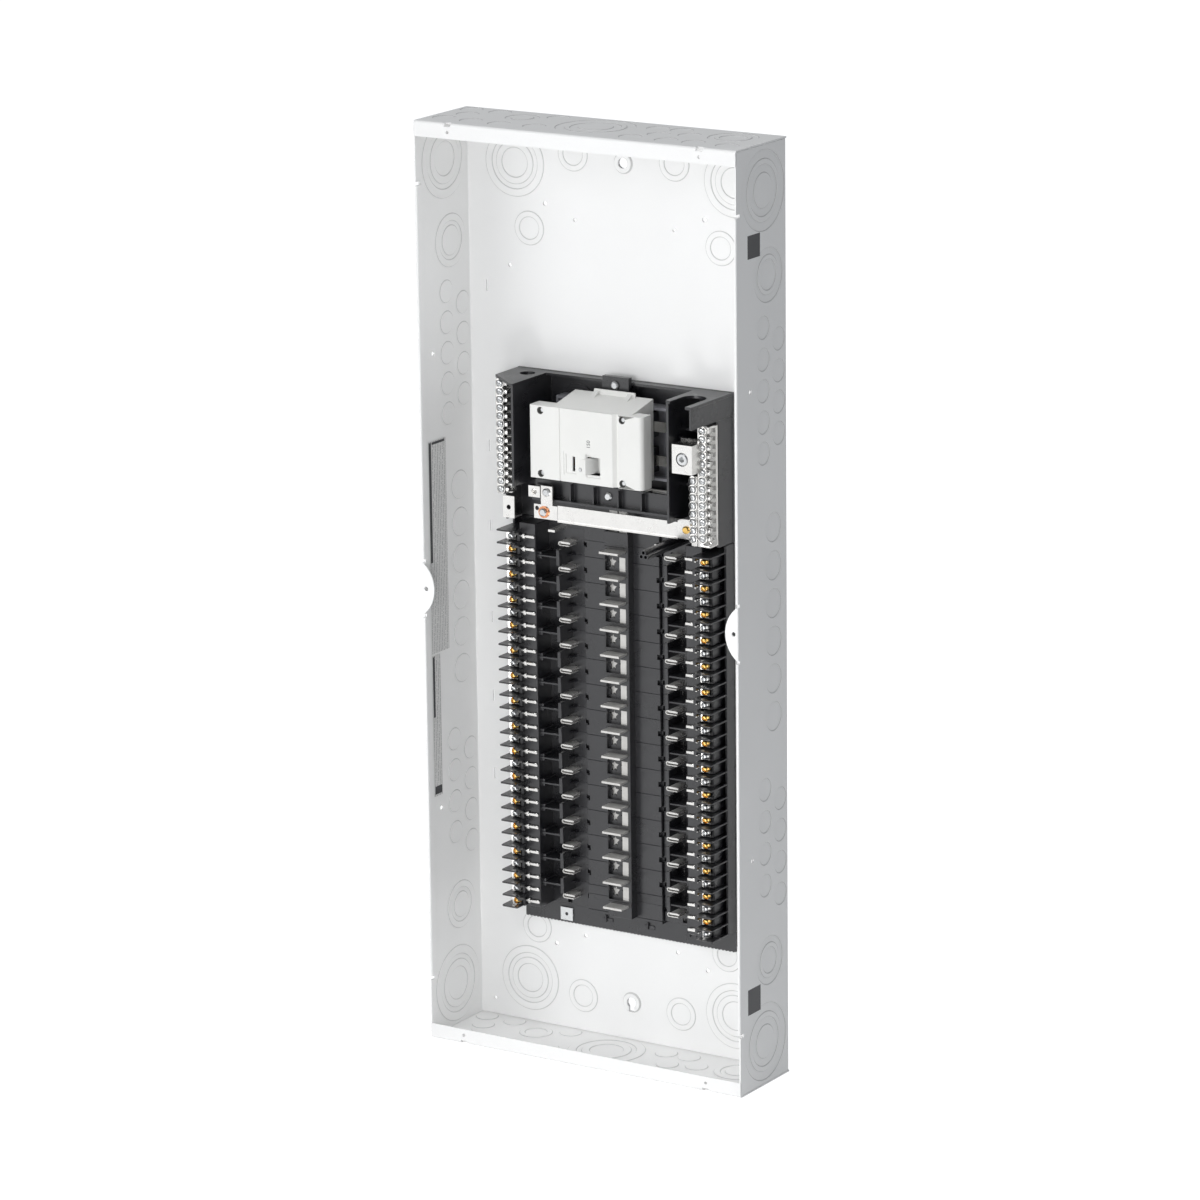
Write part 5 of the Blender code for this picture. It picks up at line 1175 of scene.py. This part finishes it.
# ---------------------------------------------------------------- main breaker cover
# White moulded cover: a grooved face, a band that slopes away on the right, four deep
# screw wells, a window for the state flag and the well that the handle moves in.
BREAKER_LOW = 0.1185
BREAKER_HIGH = 0.1895
FACE = 0.068
WING_BACK = 0.050
COVER_BACK = 0.022
CORE_HALF = 0.044
COVER_HALF = 0.067
COVER_RIGHT = 0.0585       # the right wing is shorter
ROOF_RISE = 0.0085
ROUND = 0.0018             # round of the face's outer edges
MARK_LINE = 0.0326         # the thin groove left of the controls, from the middle
BAND = (0.0292, 0.0306)    # bottom of the sloped band
BAND_DEPTH = 0.0036
STEP_DOWN = 0.0009         # the right end lies this far behind the face
WINDOW_X = (-0.0192, -0.0162)
WINDOW_HALF = 0.0072
BRIDGE_X = (-0.020, 0.026)
BRIDGE_FRONTS = (0.0245, 0.0268)
BRIDGE_RISE = (0.0045, 0.0125)
GUSSET_X = (-0.0165, 0.0205)
GUSSET_HALF = 0.0026
WALL = 0.0025
BAND_LEFT = 0.0222         # the face is thicker behind the sloped band, from here on
WELL_REACH = 0.0038        # faces this near a cover screw's axis line its well
white_plastic = make_finish("white_plastic", (0.74, 0.74, 0.72), (0.69, 0.69, 0.67),
                            (0.38, 0.52), 1400.0, 0.00003, patch=20.0)
# Painted shade: a dark grey for the walls of the cover's screw wells, in place of the white plastic that
# lies in shadow there.
well_painted_shade = make_finish("well_painted_shade", (0.20, 0.20, 0.19), (0.16, 0.16, 0.15),
                          (0.4, 0.5), 1200.0, 0.00003)
handle_low, handle_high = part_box("main_breaker_handle")
CONTROL_Z = (handle_low.z + handle_high.z) / 2
HANDLE_X = 0.0045
SCREW_PLACES = [sum(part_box("cover_screw_" + str(number)), Vector()) / 2 for number in range(1, 5)]
button_low, button_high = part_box("push_to_trip_button")
BUTTON = (button_low + button_high) / 2


def make_cover():
    contour = [(-COVER_HALF, WING_BACK)]
    contour += arc((-COVER_HALF + ROUND, FACE - ROUND), ROUND, 180, 90, 4)
    contour += [(-MARK_LINE - 0.0008, FACE), (-MARK_LINE - 0.0004, FACE - 0.0012),
                (-MARK_LINE + 0.0004, FACE - 0.0012), (-MARK_LINE + 0.0008, FACE)]
    contour += arc((0.0250, FACE - ROUND), ROUND, 90, 40, 3)
    contour += [(x, FACE - BAND_DEPTH) for x in BAND]
    contour += [(x, FACE - STEP_DOWN) for x in (0.0318, 0.0505)]
    contour += arc((COVER_RIGHT - 0.0050, FACE - 0.0061), 0.0050, 82, 0, 7)
    contour += [(COVER_RIGHT, WING_BACK)]
    bm = bmesh.new()
    prism(bm, contour, BREAKER_LOW, BREAKER_HIGH, 'Z')
    cover = make_object("breaker_cover", bm, white_plastic)
    ease_edges(cover, 0.0008, 50.0)

    bm = bmesh.new()
    prism(bm, [(COVER_BACK, BREAKER_LOW + 0.0002), (FACE - 0.0040, BREAKER_LOW + 0.0002),
               (FACE - 0.0040, BREAKER_HIGH - 0.0004), (COVER_BACK, BREAKER_HIGH + ROOF_RISE)],
          -CORE_HALF, CORE_HALF, 'X')
    core = make_object("core", bm, white_plastic)
    ease_edges(core, 0.0008, 30.0)
    step = cover.modifiers.new("core", 'BOOLEAN')
    step.operation = 'UNION'
    step.object = core
    bake_modifiers(cover)
    bpy.data.objects.remove(core, do_unlink=True)
    for x, depths in (((-CORE_HALF + WALL, BAND_LEFT), (COVER_BACK - 0.001, FACE - WALL)),
                      ((BAND_LEFT - 0.001, CORE_HALF - WALL), (COVER_BACK - 0.001, FACE - 0.0065)),
                      ((-COVER_HALF + WALL, COVER_RIGHT - WALL), (WING_BACK - 0.001, FACE - 0.0075))):
        carve(cover, lambda bm: block(bm, x, depths, (BREAKER_LOW + WALL, BREAKER_HIGH - WALL), 0))

    def wells(bm):
        for place in SCREW_PLACES:
            turned(bm, ((0.0, 0.0075), (0.0044, 0.0075), (0.0044, -0.0060), (0.0, -0.0060)),
                   at(place.x, FACE - 0.0100, place.z), (0, -1, 0), 24)

    carve(cover, wells, 'UNION')

    def openings(bm):
        for place in SCREW_PLACES:
            turned(bm, ((0.0, 0.002), (0.0036, 0.002), (0.0034, -0.0060), (0.0, -0.0060)),
                   at(place.x, FACE, place.z), (0, -1, 0), 24)
        block(bm, (HANDLE_X - 0.0082, HANDLE_X + 0.0082), (FACE - 0.0010, FACE + 0.001),
              (CONTROL_Z - 0.0112, CONTROL_Z + 0.0112), 0)
        block(bm, (-0.0262, -0.0140), (FACE - 0.0008, FACE + 0.001),
              (CONTROL_Z - 0.0095, CONTROL_Z + 0.0095), 0)
        block(bm, (-0.0286, -0.0276), (FACE - 0.0006, FACE + 0.001),
              (CONTROL_Z - 0.0112, CONTROL_Z + 0.0112), 0)
        turned(bm, ((0.0, 0.004), (0.0021, 0.004), (0.0021, -0.006), (0.0, -0.006)),
               at(BUTTON.x, FACE, BUTTON.z), (0, -1, 0), 20)

    carve(cover, openings)

    def through(bm):
        block(bm, (HANDLE_X - 0.00725, HANDLE_X + 0.00725), (FACE - 0.006, FACE + 0.001),
              (CONTROL_Z - 0.0087, CONTROL_Z + 0.0087), 0)
        block(bm, WINDOW_X, (FACE - 0.006, FACE + 0.001),
              (CONTROL_Z - WINDOW_HALF, CONTROL_Z + WINDOW_HALF), 0)

    carve(cover, through)

    def bridge(bm):
        block(bm, BRIDGE_X, BRIDGE_FRONTS,
              tuple(BREAKER_HIGH + rise for rise in BRIDGE_RISE), 0.0004)

    carve(cover, bridge, 'UNION')

    def gussets(bm):
        for x in GUSSET_X:
            prism(bm, [(0.0255, BREAKER_HIGH + 0.0045), (0.0255, BREAKER_HIGH + 0.0122),
                       (0.0370, BREAKER_HIGH + 0.0050), (0.0370, BREAKER_HIGH + 0.0020)],
                  x - GUSSET_HALF, x + GUSSET_HALF, 'X')

    carve(cover, gussets, 'UNION')
    # The faces of the screw wells take the dark grey: painted shade in the recesses.
    cover.data.materials.append(well_painted_shade)
    for face in cover.data.polygons:
        middle = face.center
        sunk = FACE - 0.0120 < -middle.y < FACE - 0.0006
        if sunk and any((middle.x - place.x) ** 2 + (middle.z - place.z) ** 2 < WELL_REACH ** 2
                        for place in SCREW_PLACES):
            face.material_index = len(cover.data.materials) - 1
    shade(cover, 32.0)
    level_faces(cover)
    return place_piece(cover, stands_for=["main_breaker_cover"])


make_cover()

# A dark flag behind the window, and the rating printed beside it, turned on its side.
bm = bmesh.new()
block(bm, (-0.0205, -0.0150), (FACE - 0.0095, FACE - 0.0066),
      (CONTROL_Z - 0.0085, CONTROL_Z + 0.0085), 0.0002)
place_piece(make_object("state_flag", bm, deep_black))
letters = bpy.data.curves.new("rating", 'FONT')
letters.body = "150"
letters.size = 0.0054
letters.extrude = 0.00004
letters.align_x = 'CENTER'
letters.align_y = 'CENTER'
rating = bpy.data.objects.new("rating", letters)
bpy.context.scene.collection.objects.link(rating)
bake = bpy.data.meshes.new_from_object(rating.evaluated_get(bpy.context.evaluated_depsgraph_get()))
bpy.data.objects.remove(rating, do_unlink=True)
bake.transform(Matrix.Translation(at(-0.0005, FACE + 0.00002, 0.1575))
               @ Matrix.Rotation(math.radians(90), 4, 'X') @ Matrix.Rotation(math.radians(90), 4, 'Z'))
bake.materials.clear()
bake.materials.append(print_ink)
rating = bpy.data.objects.new("rating_number", bake)
bpy.context.scene.collection.objects.link(rating)
place_piece(rating)

soften("main_breaker_handle", "breaker_handle", 0.0005, white_plastic)

# Brass screws join the breaker's load straps to the bars.
for word in ("lower", "upper"):
    low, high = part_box("load_terminal_" + word)
    screw = slotted_screw("load_screw_" + word, at(high.x - 0.0034, -low.y, (low.z + high.z) / 2),
                          0.0030, 0.0022, brass_finish, math.radians(60))
    place_piece(screw)

# ---------------------------------------------------------------- CAD nodes that stay
# The bars, lugs, straps, screws and the breaker's inner parts keep their solids.
copper_finish = make_finish("bare_copper", (0.78, 0.36, 0.19), (0.62, 0.27, 0.14), (0.2, 0.4),
                            300.0, 0.00002, metallic=1.0)
fibre_finish = make_finish("arc_fibre", (0.42, 0.17, 0.09), (0.34, 0.13, 0.07), (0.7, 0.9),
                           500.0, 0.00006)
case_grey = make_finish("case_grey", (0.20, 0.20, 0.22), (0.25, 0.25, 0.27), (0.4, 0.55),
                        1200.0, 0.00004)
SLOT_FINISH = {"white_paint": powder_coat, "black_plastic": black_plastic,
               "white_plastic": white_plastic, "grey_plastic": case_grey,
               "tinned_metal": tinned, "copper": copper_finish, "brass": brass_finish,
               "zinc_steel": zinc_finish, "arc_fibre": fibre_finish}
for part in frame["record"]["subparts"]:
    if part["material_slot"] in SLOT_FINISH and not part["node"].startswith("bus_bar"):
        dress(part["node"], SLOT_FINISH[part["material_slot"]])

# ---------------------------------------------------------------- bounds of the whole object
low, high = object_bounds()
